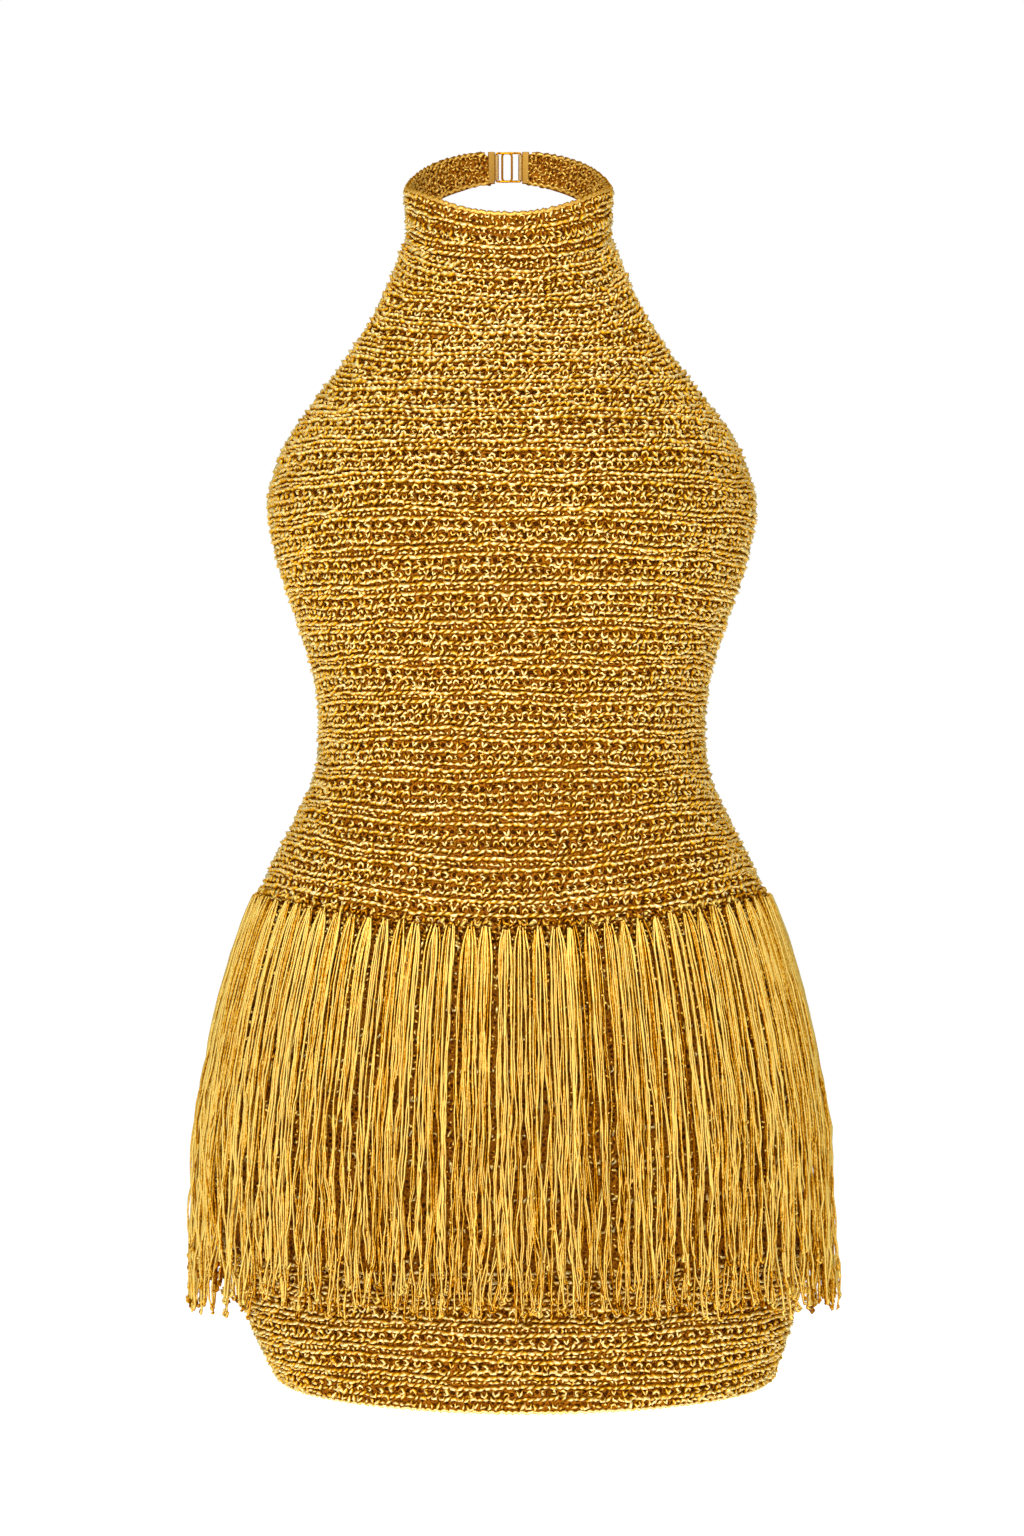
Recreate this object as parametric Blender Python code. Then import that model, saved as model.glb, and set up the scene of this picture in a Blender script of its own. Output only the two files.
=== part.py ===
"""Crochet halter mini dress, hollow as it is worn.

Front and back panel, a mock-neck collar band that a metal clasp closes at the nape, and a long fringe
knotted round the hips. Metres, +Z up. The front faces -Y, the wearer's left is at +X, and the origin is
the centre of the neck ring, where the dress is held.
"""

import math
import random
from collections import namedtuple

import bmesh
import bpy
from mathutils import Matrix, Vector

# ---------------------------------------------------------------- driving dimensions

WALL = 0.0022  # thickness of the crochet cloth
SEAM_GAP = 0.0003  # air between two pieces that meet
ROW_REPEAT = 0.0225  # one raised pair of crochet rows and the flat band below it
RIB = 0.0011  # how far a pair of rows stands out
COLUMNS = 24  # facets across a panel, from side seam to side seam

# Sections of the cloth, from the collar seam to the hem. height is the side edge's, dip is how much lower
# the front centre hangs, square is the exponent of the superellipse (2 is an ellipse).
Section = namedtuple("Section", "height dip half_width side_y front_y back_y square")
FORM = [
    Section(-0.0195, 0.0254, 0.0650, 0.000, -0.058, 0.056, 2.00),  # collar seam
    Section(-0.0637, 0.0190, 0.0800, -0.026, -0.070, 0.070, 2.05),  # base of the neck
    Section(-0.0977, 0.0125, 0.0985, -0.038, -0.082, 0.080, 2.10),  # collarbone
    Section(-0.1295, 0.0065, 0.1221, -0.036, -0.094, 0.090, 2.15),  # upper chest
    Section(-0.1594, 0.0020, 0.1444, -0.019, -0.103, 0.095, 2.20),  # armpit
    Section(-0.1896, 0.0000, 0.1562, 0.000, -0.109, 0.098, 2.25),  # bust line
    Section(-0.2060, 0.0000, 0.1565, 0.000, -0.109, 0.098, 2.25),
    Section(-0.2383, 0.0000, 0.1497, 0.000, -0.107, 0.096, 2.25),  # under the bust
    Section(-0.2708, 0.0000, 0.1386, 0.000, -0.103, 0.092, 2.20),
    Section(-0.3100, 0.0000, 0.1270, 0.000, -0.098, 0.087, 2.20),
    Section(-0.3440, 0.0000, 0.1242, 0.000, -0.097, 0.086, 2.20),  # waist
    Section(-0.3720, 0.0000, 0.1274, 0.000, -0.098, 0.089, 2.20),
    Section(-0.4008, 0.0000, 0.1400, 0.000, -0.102, 0.097, 2.20),
    Section(-0.4333, 0.0000, 0.1565, 0.000, -0.107, 0.107, 2.20),  # high hip
    Section(-0.4800, 0.0000, 0.1722, 0.000, -0.112, 0.119, 2.20),
    Section(-0.5400, 0.0000, 0.1852, 0.000, -0.114, 0.127, 2.20),
    Section(-0.6100, 0.0000, 0.1935, 0.000, -0.115, 0.129, 2.20),  # full hip
    Section(-0.6700, 0.0000, 0.1890, 0.000, -0.113, 0.124, 2.20),
    Section(-0.7258, 0.0010, 0.1740, 0.000, -0.109, 0.116, 2.20),
    Section(-0.7622, 0.0047, 0.1595, 0.000, -0.105, 0.110, 2.00),  # hem
]
COLLAR_SEAM = FORM[0].height
HEM = FORM[-1].height
UNDERARM_ROW = 15  # the front's row at which the armhole edge meets the side seam
RIBBED_REPEATS = 19  # from the collar seam down to the fringe
UNDER_FRINGE_FROM = 0.030  # the cloth is plain from this far below the fringe row
HEM_RIBS_FROM = -0.695  # and ribbed again from this height
SHARP_FROM = math.radians(50)  # an edge that bends more than this isn't shaded round

# The dress hangs a little to the wearer's left of its neck ring.
LEAN = 0.0023  # at the bust line and below
LEAN_BY = -0.206
SWAY_FROM = -0.600  # below this the skirt swings further out
SWAY = 0.0085  # how much further its hem has gone

# Two soft cups, eased into the front by extra stitches.
CUP_X = 0.076
CUP_HEIGHT = -0.196
CUP_DEPTH = 0.017
CUP_WIDE = 0.055
CUP_ABOVE = 0.062
CUP_BELOW = 0.045

# The back is cut low, in a scoop from underarm to underarm.
SCOOP = 0.166
SCOOP_ROWS = 16  # rows from the underarm to the first one that runs right across the back

# Collar band. Its lower edge is the collar seam, carried on round the nape.
COLLAR_TOP = 0.0049  # height of the top edge, before it climbs or falls
COLLAR_CLIMB = 0.0372  # how much it climbs in a straight line to the nape
COLLAR_BEND = 0.30  # how softly the climb begins at the sides
COLLAR_FALL = 0.0213  # how much it falls in a curve to the throat
COLLAR_FALL_POWER = 2.4  # how late that curve begins
COLLAR_TOP_SECTION = Section(COLLAR_TOP, 0.0, 0.0672, -0.005, -0.062, 0.051, 2.20)
COLLAR_ROLL = 0.0012  # the two rolls of stitches round the band
COLLAR_COLUMNS = 52

# Clasp at the nape: two folded plates, and two wire frames that hook into each other.
PLATE_METAL = 0.0006
PLATE_SLOT = WALL + 2 * SEAM_GAP
PLATE_OUTER = 0.0136  # from the middle of the clasp to a plate's open end
PLATE_INNER = 0.0065  # and to its fold
PLATE_HALF_HEIGHT = 0.0102  # the cloth swells out a little above and below the plate
PLATE_GROOVE = 0.0005  # the groove pressed into both leaves, which keeps the wire in the fold
PLATE_GROOVE_AT = 0.0044  # from the open end to the middle of the groove
PLATE_GROOVE_HALF = 0.0006
CLASP_RAISED = 0.0004  # the clasp sits this much above the middle of the band
WIRE_RADIUS = 0.00075
WIRE_HALF_HEIGHT = 0.0093
WIRE_NEAR = 0.0082  # the bar that lies in a plate's fold
WIRE_FAR = {-1: 0.0022, 1: -0.0042}  # the bar at the other end of the left and the right frame
WIRE_STEP = 0.0009  # the frames pass each other, one inside and one outside
WIRE_BEND_FROM = 0.0066  # a frame steps aside between here
WIRE_BEND_TO = {-1: 0.0052, 1: 0.0034}  # and here
NEAR_CORNER = 0.0012  # radius of a frame's corners at the fold
FAR_CORNER = 0.0022  # and at its other end
NOTCH_CLEAR = WIRE_RADIUS + 0.0004  # from the wire's middle to the fold, where it leaves it
CLOTH_IN_CLASP = 0.0103  # where the cloth ends, from the middle of the clasp

# Fringe. Bundles are looped into one row of stitches round the hips.
FRINGE_SIDE = -0.4475
FRINGE_DIP = 0.0164  # the row hangs this much lower at the front and back centre
BUNDLE_PITCH = 0.0105
STRIP_HEIGHT = 0.0040
STRIP_THICK = 0.0022
ROOT_WIDTH = 0.0026
STRAND_WIDTH = 0.0041
STRAND_THICK = 0.0026
FRINGE_LENGTH = 0.232  # at the front and back centre
FRINGE_LONGER = 0.030  # more at the sides
FRINGE_RAGGED = 0.007
FRINGE_CLEAR = 0.0005  # air between the cloth and the fringe
FRINGE_STANDS_OFF = 0.0105  # how far the ends hang clear of the widest hip
FRINGE_PLAIN = 0.012  # the cloth is plain from this far above the fringe row
RIB_FADES = 0.006  # over this height above that
STRAND_RINGS = (0.0, 0.08, 0.34, 0.66, 1.0)  # shares of a strand's length
STRAND_DRIFT = 0.0004  # how far a strand's end may swing to either side
STRAND_TIP = 0.7  # how thin its end is

GOLD_YARN = (0.56, 0.33, 0.06)
FRINGE_YARN = (0.65, 0.40, 0.09)
CLASP_GOLD = (0.72, 0.50, 0.20)


# ---------------------------------------------------------------- the form of the cloth


def section_at(height):
    """The section at a height of the side edge, from a smooth curve through FORM."""
    height = max(min(height, COLLAR_SEAM), HEM)
    below = next(i for i in range(1, len(FORM)) if height >= FORM[i].height)
    above = below - 1
    start, end = FORM[above], FORM[below]
    before, after = FORM[max(above - 1, 0)], FORM[min(below + 1, len(FORM) - 1)]
    span = end.height - start.height
    t = (height - start.height) / span
    values = []
    for b, p, q, a in zip(before, start, end, after):
        leave = (q - b) / (end.height - before.height) * span
        arrive = (a - p) / (after.height - start.height) * span
        values.append(
            (2 * t**3 - 3 * t**2 + 1) * p
            + (t**3 - 2 * t**2 + t) * leave
            + (3 * t**2 - 2 * t**3) * q
            + (t**3 - t**2) * arrive
        )
    return Section(*values)._replace(height=height)


def signed_power(value, exponent):
    return math.copysign(abs(value) ** exponent, value)


def dip_share(c):
    """How far a curve that hangs by 1 at the front (c = 1) has dropped. It rises by 5/3 at the back."""
    return c * (4 - c) / 3 if c > 0 else c * 5 / 3


def cups(x, z):
    """How far the cups push the front out."""
    tall = CUP_ABOVE if z > CUP_HEIGHT else CUP_BELOW
    up = math.exp(-(((z - CUP_HEIGHT) / tall) ** 2))
    return CUP_DEPTH * up * sum(math.exp(-(((x - side * CUP_X) / CUP_WIDE) ** 2)) for side in (-1, 1))


def sway(height):
    """How far the dress hangs to the wearer's left at a height."""
    lean = min(1.0, (COLLAR_SEAM - height) / (COLLAR_SEAM - LEAN_BY))
    swing = max(0.0, (height - SWAY_FROM) / (HEM - SWAY_FROM))
    return LEAN * lean + SWAY * swing**1.5


def on_section(s, turn):
    """A point of a section. turn is 0 at the front centre and a quarter turn at the wearer's left side."""
    across = signed_power(math.sin(turn), 2 / s.square)
    ahead = signed_power(math.cos(turn), 2 / s.square)
    reach = s.front_y if ahead > 0 else s.back_y
    x = s.half_width * across
    y = s.side_y + (reach - s.side_y) * abs(ahead)
    return x, y, ahead


def cloth_point(turn, height):
    """The middle line of the outer stitches: a point of the dress's outer form."""
    s = section_at(height)
    x, y, ahead = on_section(s, turn)
    z = height - s.dip * dip_share(max(ahead, 0.0))
    if ahead > 0:
        y -= cups(x, z) * min(1.0, ahead * 1.6)
    return Vector((x + sway(height), y, z))


def cloth_normal(turn, height):
    """Outward, from the form's own slopes."""
    step_turn, step_height = math.radians(0.5), 0.0005
    left, right = turn - step_turn, turn + step_turn
    low, high = max(height - step_height, HEM), min(height + step_height, COLLAR_SEAM)
    around = cloth_point(right, height) - cloth_point(left, height)
    up = cloth_point(turn, high) - cloth_point(turn, low)
    return around.cross(up).normalized()


# ---------------------------------------------------------------- building blocks


def material(name, colour, roughness, metallic):
    made = bpy.data.materials.new(name)
    made.use_nodes = True
    shader = made.node_tree.nodes["Principled BSDF"]
    shader.inputs["Base Color"].default_value = (*colour, 1.0)
    shader.inputs["Roughness"].default_value = roughness
    shader.inputs["Metallic"].default_value = metallic
    return made


def place(name, data, finish):
    data.materials.append(finish)
    made = bpy.data.objects.new(name, data)
    bpy.context.scene.collection.objects.link(made)
    return made


def shaded(mesh):
    mesh.shade_smooth()
    mesh.set_sharp_from_angle(angle=SHARP_FROM)
    return mesh


def wall(name, outer, inner, finish):
    """A closed cloth wall from two grids of points of the same size, rows from top to bottom."""
    rows, columns = len(outer), len(outer[0])
    sheet = bmesh.new()
    out = [[sheet.verts.new(p) for p in row] for row in outer]
    back = [[sheet.verts.new(p) for p in row] for row in inner]
    for i in range(rows - 1):
        for j in range(columns - 1):
            sheet.faces.new((out[i][j], out[i + 1][j], out[i + 1][j + 1], out[i][j + 1]))
            sheet.faces.new((back[i][j], back[i][j + 1], back[i + 1][j + 1], back[i + 1][j]))
        sheet.faces.new((out[i][0], back[i][0], back[i + 1][0], out[i + 1][0]))
        sheet.faces.new((out[i][-1], out[i + 1][-1], back[i + 1][-1], back[i][-1]))
    for j in range(columns - 1):
        sheet.faces.new((out[0][j], out[0][j + 1], back[0][j + 1], back[0][j]))
        sheet.faces.new((out[-1][j], back[-1][j], back[-1][j + 1], out[-1][j + 1]))
    bmesh.ops.recalc_face_normals(sheet, faces=sheet.faces)
    mesh = bpy.data.meshes.new(name)
    sheet.to_mesh(mesh)
    sheet.free()
    return place(name, shaded(mesh), finish)


# ---------------------------------------------------------------- panels


def fringe_height(turn):
    return FRINGE_SIDE - FRINGE_DIP * abs(math.cos(turn)) ** 3


def rib_relief(turn, height, relief):
    """A rib's relief at one point: it dies out where the fringe lies on the cloth."""
    if height < HEM_RIBS_FROM:
        return relief
    above = height - fringe_height(turn) - FRINGE_PLAIN
    return relief * min(1.0, max(0.0, above / RIB_FADES))


def rib_rows(top, bottom, ribbed=True):
    """(height, relief) for every row of points between two heights. Every second row of a ribbed stretch
    stands out."""
    step = ROW_REPEAT / 2 if ribbed else 2 * ROW_REPEAT
    count = max(2, round((top - bottom) / step))
    return [
        (top + (bottom - top) * k / count, RIB if ribbed and k % 2 else 0.0) for k in range(count + 1)
    ]


def skirt_rows():
    """The rows from just above the fringe to the hem: plain where the fringe hides them."""
    under_fringe = rib_rows(FRINGE_SIDE - UNDER_FRINGE_FROM, HEM_RIBS_FROM, ribbed=False)
    hem = rib_rows(HEM_RIBS_FROM, HEM)
    return under_fringe[:-1] + hem[:-1] + [(HEM, 0.0)]


def front_rows():
    top = COLLAR_SEAM - SEAM_GAP
    return rib_rows(top, top - RIBBED_REPEATS * ROW_REPEAT) + skirt_rows()


def panel_normal(turn, height):
    """As cloth_normal, but at a side seam it looks straight sideways, so that both panels meet there."""
    if abs(abs(turn) - math.pi / 2) > 1e-6 and abs(turn - 3 * math.pi / 2) > 1e-6:
        return cloth_normal(turn, height)
    normal = cloth_normal(turn, height)
    return Vector((normal.x, 0, normal.z)).normalized()


def panel(name, first_turn, rows, height_at, finish):
    """A panel half a turn wide. height_at gives a row's height at a turn."""
    outer, inner = [], []
    seam = SEAM_GAP / 2 * (1 if first_turn > 0 else -1)
    for k, (_, relief) in enumerate(rows):
        outer_row, inner_row = [], []
        for j in range(COLUMNS + 1):
            turn = first_turn + math.pi * j / COLUMNS
            height = height_at(turn, k)
            point, normal = cloth_point(turn, height), panel_normal(turn, height)
            if j in (0, COLUMNS):
                point.y += seam
            outer_row.append(point + normal * rib_relief(turn, height, relief))
            inner_row.append(point - normal * WALL)
        outer.append(outer_row)
        inner.append(inner_row)
    return wall(name, outer, inner, finish)


def build_front(finish):
    rows = front_rows()
    return panel("front_panel", -math.pi / 2, rows, lambda turn, k: rows[k][0], finish)


def build_back(finish):
    rows = front_rows()[UNDERARM_ROW:]
    rows = [(height, relief if k > SCOOP_ROWS else 0.0) for k, (height, relief) in enumerate(rows)]
    underarm, floor = rows[0][0], rows[SCOOP_ROWS][0]

    def height_at(turn, k):
        side = rows[k][0]
        if k >= SCOOP_ROWS:
            return side
        edge = underarm - SCOOP * math.sin(turn - math.pi / 2)
        return edge + (floor - edge) * (side - underarm) / (floor - underarm)

    return panel("back_panel", math.pi / 2, rows, height_at, finish)


# ---------------------------------------------------------------- collar band


def collar_top(c):
    """Height of the band's top edge. c is 1 at the throat, 0 at the sides and -1 at the nape."""
    climb = (math.hypot(c, COLLAR_BEND) - c) / 2
    return COLLAR_TOP + COLLAR_CLIMB * climb - COLLAR_FALL * max(c, 0.0) ** COLLAR_FALL_POWER


def collar_point(turn, share):
    """A point of the collar's outer form. share is 0 at the seam and 1 at the top edge."""
    seam, top = FORM[0], COLLAR_TOP_SECTION
    x0, y0, c = on_section(seam, turn)
    x1, y1, _ = on_section(top, turn)
    low = Vector((x0, y0, COLLAR_SEAM - seam.dip * dip_share(c)))
    high = Vector((x1, y1, collar_top(c)))
    return low.lerp(high, share)


def nape_turn(x):
    """The turn, on the wearer's left, at which the band is x metres from the middle of the nape."""
    near, far = math.pi / 2, math.pi
    for _ in range(40):
        middle = (near + far) / 2
        if collar_point(middle, 0.5).x > x:
            near = middle
        else:
            far = middle
    return near


def collar_axes(turn):
    """(along, up, outward) of the band at a turn."""
    step = math.radians(0.5)
    along = (collar_point(turn + step, 0.5) - collar_point(turn - step, 0.5)).normalized()
    up = collar_point(turn, 1.0) - collar_point(turn, 0.0)
    up = (up - along * up.dot(along)).normalized()
    return along, up, along.cross(up)


def build_collar(finish):
    end = nape_turn(CLOTH_IN_CLASP)
    flat_from = nape_turn(PLATE_OUTER + 0.0008)
    rolled_from = flat_from - math.radians(16)
    shares = ((0.0, 0.0), (0.25, 1.0), (0.5, 0.0), (0.75, 1.0), (1.0, 0.0))
    outer, inner = [], []
    for share, roll in reversed(shares):
        outer_row, inner_row = [], []
        for j in range(COLLAR_COLUMNS + 1):
            turn = end * (2 * j / COLLAR_COLUMNS - 1)
            fade = min(1.0, max(0.0, (flat_from - abs(turn)) / (flat_from - rolled_from)))
            point, outward = collar_point(turn, share), collar_axes(turn)[2]
            outer_row.append(point + outward * COLLAR_ROLL * roll * fade)
            inner_row.append(point - outward * WALL)
        outer.append(outer_row)
        inner.append(inner_row)
    return wall("collar_band", outer, inner, finish)


# ---------------------------------------------------------------- clasp


def clasp_frame(side):
    """The matrix of a plate: X runs from its open end to its fold, Y is outward, Z is up. side is -1 for
    the wearer's right, which is the left of a front view."""
    turn = side * nape_turn((PLATE_OUTER + CLOTH_IN_CLASP) / 2)
    outward = collar_axes(turn)[2]
    upright = collar_axes(math.pi)[1]
    up = (upright - outward * upright.dot(outward)).normalized()
    to_fold = outward.cross(up) * -side
    foot = collar_point(turn, 0.5) - outward * WALL / 2
    start = foot - to_fold * (PLATE_OUTER - CLOTH_IN_CLASP) / 2 + up * CLASP_RAISED
    frame = Matrix((to_fold, outward, up)).transposed().to_4x4()
    frame.translation = start
    return frame


def plate_face(half, centre):
    """One face of the folded plate's section, half apart from its middle plane, round the fold."""
    angles = [math.pi / 2 - math.pi * k / 8 for k in range(9)]
    fold = [(centre + half * math.cos(a), half * math.sin(a)) for a in angles]
    groove = [
        (PLATE_GROOVE_AT - PLATE_GROOVE_HALF, half),
        (PLATE_GROOVE_AT, half - PLATE_GROOVE),
        (PLATE_GROOVE_AT + PLATE_GROOVE_HALF, half),
    ]
    return [(0.0, half), *groove, *fold, *[(x, -y) for x, y in reversed(groove)], (0.0, -half)]


def plate_outline():
    """The folded plate's section, from one leaf's end round the fold and back inside the slot."""
    outside = PLATE_SLOT / 2 + PLATE_METAL
    centre = PLATE_OUTER - PLATE_INNER - outside
    return [*plate_face(outside, centre), *reversed(plate_face(PLATE_SLOT / 2, centre))]


def build_plate(name, side, finish):
    shape = bmesh.new()
    rim = [shape.verts.new((x, y, -PLATE_HALF_HEIGHT)) for x, y in plate_outline()]
    base = shape.faces.new(rim)
    grown = bmesh.ops.extrude_face_region(shape, geom=[base])
    moved = [v for v in grown["geom"] if isinstance(v, bmesh.types.BMVert)]
    bmesh.ops.translate(shape, verts=moved, vec=(0, 0, 2 * PLATE_HALF_HEIGHT))
    bmesh.ops.recalc_face_normals(shape, faces=shape.faces)
    mesh = bpy.data.meshes.new(name)
    shape.to_mesh(mesh)
    shape.free()
    plate = place(name, mesh, finish)
    plate.matrix_world = clasp_frame(side)
    for end in (-1, 1):
        notch_the_fold(plate, end)
    return plate


def notch_the_fold(plate, end):
    """Cuts the fold back at the top or the bottom, where the wire comes out of it."""
    length = PLATE_OUTER - PLATE_INNER
    start = PLATE_OUTER - WIRE_NEAR - NOTCH_CLEAR
    low, high = WIRE_HALF_HEIGHT - NOTCH_CLEAR, 2 * PLATE_HALF_HEIGHT
    cutter_mesh = bpy.data.meshes.new("fold_notch")
    box = bmesh.new()
    bmesh.ops.create_cube(box, size=1.0)
    size = Vector((length - start + 0.002, 0.01, high - low))
    middle = Vector((start + size.x / 2, 0, end * (low + high) / 2))
    for vert in box.verts:
        vert.co = Vector((vert.co.x * size.x, vert.co.y * size.y, vert.co.z * size.z)) + middle
    box.to_mesh(cutter_mesh)
    box.free()
    cutter = bpy.data.objects.new("fold_notch", cutter_mesh)
    bpy.context.scene.collection.objects.link(cutter)
    cutter.parent = plate
    cutter.hide_render = True
    cutter.display_type = "WIRE"
    cut = plate.modifiers.new("Notch", "BOOLEAN")
    cut.operation = "DIFFERENCE"
    cut.object = cutter


def wire_corner(bar, side, radius, y):
    """The wire's way round a corner, from the upright bar at x = bar to the level top. side is 1 where the
    bar is the frame's end towards +X."""
    turns = [math.radians(22.5) * k for k in range(5)]
    return [
        (bar - side * radius * (1 - math.cos(a)), y, WIRE_HALF_HEIGHT - radius * (1 - math.sin(a)))
        for a in turns
    ]


def build_wire_frame(name, side, finish):
    """A closed wire: one bar lies in the plate's fold, the other hooks past the opposite frame."""
    step = side * WIRE_STEP
    near_corner = wire_corner(side * WIRE_NEAR, side, NEAR_CORNER, 0.0)
    far_corner = wire_corner(WIRE_FAR[side], -side, FAR_CORNER, step)
    bend = [(side * WIRE_BEND_FROM, 0.0, WIRE_HALF_HEIGHT), (side * WIRE_BEND_TO[side], step, WIRE_HALF_HEIGHT)]
    half = [(side * WIRE_NEAR, 0.0, 0.0), *near_corner, *bend, *reversed(far_corner)]
    points = half + [(x, y, -z) for x, y, z in reversed(half[1:])]
    curve = bpy.data.curves.new(name, "CURVE")
    curve.dimensions = "3D"
    curve.bevel_depth = WIRE_RADIUS
    curve.bevel_resolution = 2
    spline = curve.splines.new("POLY")
    spline.points.add(len(points) - 1)
    for place_at, (x, y, z) in zip(spline.points, points):
        place_at.co = (x, y, z, 1.0)
    spline.use_cyclic_u = True
    spline.use_smooth = True
    frame = place(name, curve, finish)
    bar = clasp_frame(side) @ Vector((PLATE_OUTER - WIRE_NEAR, 0, 0))
    _, up, outward = collar_axes(math.pi)
    axes = Matrix((outward.cross(up), outward, up)).transposed().to_4x4()
    axes.translation = (0.0, bar.y, bar.z)
    frame.matrix_world = axes
    return frame


# ---------------------------------------------------------------- fringe


def hang_section(height):
    """The section that hangs over the hips: never narrower than any section above it."""
    heights = [FRINGE_SIDE + (height - FRINGE_SIDE) * k / 12 for k in range(13)]
    above = [section_at(h) for h in heights]
    return above[-1]._replace(
        half_width=max(s.half_width for s in above),
        front_y=min(s.front_y for s in above),
        back_y=max(s.back_y for s in above),
    )


def hang_point(turn, down, length, clear):
    """A point down metres below the fringe row, clear metres outside the cloth, and lower down outside the
    hips too."""
    height = fringe_height(turn) - down
    s = hang_section(height)
    x, y, _ = on_section(s, turn)
    outward = Vector((x / s.half_width**2, (y - s.side_y) / abs(s.front_y - s.side_y) ** 2, 0)).normalized()
    stand_off = clear + FRINGE_STANDS_OFF * (down / length) ** 0.7
    return Vector((x + LEAN, y, height)) + outward * stand_off


def bundle_turns(first, last):
    """Turns at equal steps of the fringe row, one for each bundle."""
    fine = [first + (last - first) * k / 400 for k in range(401)]
    points = [cloth_point(t, fringe_height(t)) for t in fine]
    along = [0.0]
    for a, b in zip(points, points[1:]):
        along.append(along[-1] + (b - a).length)
    count = round(along[-1] / BUNDLE_PITCH)
    wanted = [along[-1] * (k + 0.5) / count for k in range(count)]
    turns = []
    for length in wanted:
        i = next(i for i, a in enumerate(along) if a >= length)
        share = (length - along[i - 1]) / (along[i] - along[i - 1])
        per_metre = (fine[i] - fine[i - 1]) / (along[i] - along[i - 1])
        turns.append((fine[i - 1] + share * (fine[i] - fine[i - 1]), per_metre))
    return turns


def strand_rings(turn, per_metre, side, rng):
    """The triangles of points down one strand, two inside and one outside. side is -1 or 1 in its bundle."""
    share = 1 - abs(math.cos(turn)) ** 1.5
    length = FRINGE_LENGTH + FRINGE_LONGER * share + rng.uniform(-1, 1) * FRINGE_RAGGED
    drift = rng.uniform(-1, 1) * STRAND_DRIFT
    rings = []
    for ring in STRAND_RINGS:
        width = ROOT_WIDTH + (STRAND_WIDTH - ROOT_WIDTH) * min(1.0, ring / STRAND_RINGS[1])
        spread = min(1.0, ring / STRAND_RINGS[2])
        shift = side * (ROOT_WIDTH / 2 + (BUNDLE_PITCH / 4 - ROOT_WIDTH / 2) * spread)
        middle = turn + (shift + drift * ring) * per_metre
        taper = STRAND_TIP if ring == 1.0 else 1.0
        rings.append(
            (
                (middle - taper * width / 2 * per_metre, ring * length, length, FRINGE_CLEAR),
                (middle + taper * width / 2 * per_metre, ring * length, length, FRINGE_CLEAR),
                (middle, ring * length, length, FRINGE_CLEAR + STRAND_THICK * taper),
            )
        )
    return rings


def build_fringe(name, first, last, finish, seed):
    """One backing strip and the strands that grow out of its lower edge, as a single body."""
    rng = random.Random(seed)
    shape = bmesh.new()

    def vert(point):
        return shape.verts.new(point)

    def face(*corners):
        shape.faces.new(corners)

    inner_low, outer_low, inner_high, outer_high = [], [], [], []
    outside = FRINGE_CLEAR + STRIP_THICK
    for turn, per_metre in bundle_turns(first, last):
        strands = [strand_rings(turn, per_metre, side, rng) for side in (-1, 1)]
        roots_in = [turn + shift * ROOT_WIDTH * per_metre for shift in (-1, 0, 1)]
        roots_out = [turn + shift * ROOT_WIDTH / 2 * per_metre for shift in (-1, 1)]
        low_in = [vert(hang_point(t, 0.0, 1.0, FRINGE_CLEAR)) for t in roots_in]
        low_out = [vert(hang_point(t, 0.0, 1.0, outside)) for t in roots_out]
        up = Vector((0, 0, STRIP_HEIGHT))
        high_in = [vert(hang_point(t, 0.0, 1.0, FRINGE_CLEAR) + up) for t in roots_in]
        high_out = [vert(hang_point(t, 0.0, 1.0, outside) + up) for t in roots_out]
        for back, front in ((low_in, low_out), (high_in, high_out)):
            face(back[1], front[1], front[0])
        for k in range(2):
            face(high_in[k], high_in[k + 1], high_out[k])
            grow_strand(shape, (low_in[k], low_in[k + 1], low_out[k]), strands[k][1:])
        inner_low += low_in
        outer_low += low_out
        inner_high += high_in
        outer_high += high_out
    for low, high in ((inner_low, inner_high), (outer_low, outer_high)):
        for k in range(len(low) - 1):
            face(low[k], low[k + 1], high[k + 1], high[k])
    for back, front in ((inner_low, outer_low), (inner_high, outer_high)):
        for b in range(1, len(back) // 3):
            face(back[3 * b - 1], back[3 * b], front[2 * b])
            face(back[3 * b - 1], front[2 * b], front[2 * b - 1])
    face(inner_low[0], outer_low[0], outer_high[0], inner_high[0])
    face(inner_low[-1], outer_low[-1], outer_high[-1], inner_high[-1])
    bmesh.ops.recalc_face_normals(shape, faces=shape.faces)
    mesh = bpy.data.meshes.new(name)
    shape.to_mesh(mesh)
    shape.free()
    return place(name, shaded(mesh), finish)


def grow_strand(shape, root, rings):
    """Sweeps a strand down from three points of the strip's lower edge."""
    above = root
    for ring in rings:
        below = [shape.verts.new(hang_point(*point)) for point in ring]
        for k in range(3):
            shape.faces.new((above[k], above[(k + 1) % 3], below[(k + 1) % 3], below[k]))
        above = below
    shape.faces.new(above)


# ---------------------------------------------------------------- the dress


def main():
    for old in list(bpy.data.objects):
        bpy.data.objects.remove(old)
    cloth = material("gold_crochet_yarn", GOLD_YARN, 0.45, 0.35)
    strands = material("gold_fringe_yarn", FRINGE_YARN, 0.50, 0.30)
    metal = material("clasp_gold", CLASP_GOLD, 0.28, 1.0)
    build_front(cloth)
    build_back(cloth)
    build_collar(cloth)
    build_plate("clasp_plate_right", -1, metal)
    build_plate("clasp_plate_left", 1, metal)
    build_wire_frame("clasp_eye", -1, metal)
    build_wire_frame("clasp_hook", 1, metal)
    quarter = math.pi / 2
    build_fringe("fringe_front", -quarter, quarter, strands, seed=11)
    build_fringe("fringe_back", quarter, 3 * quarter, strands, seed=12)


main()
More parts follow.
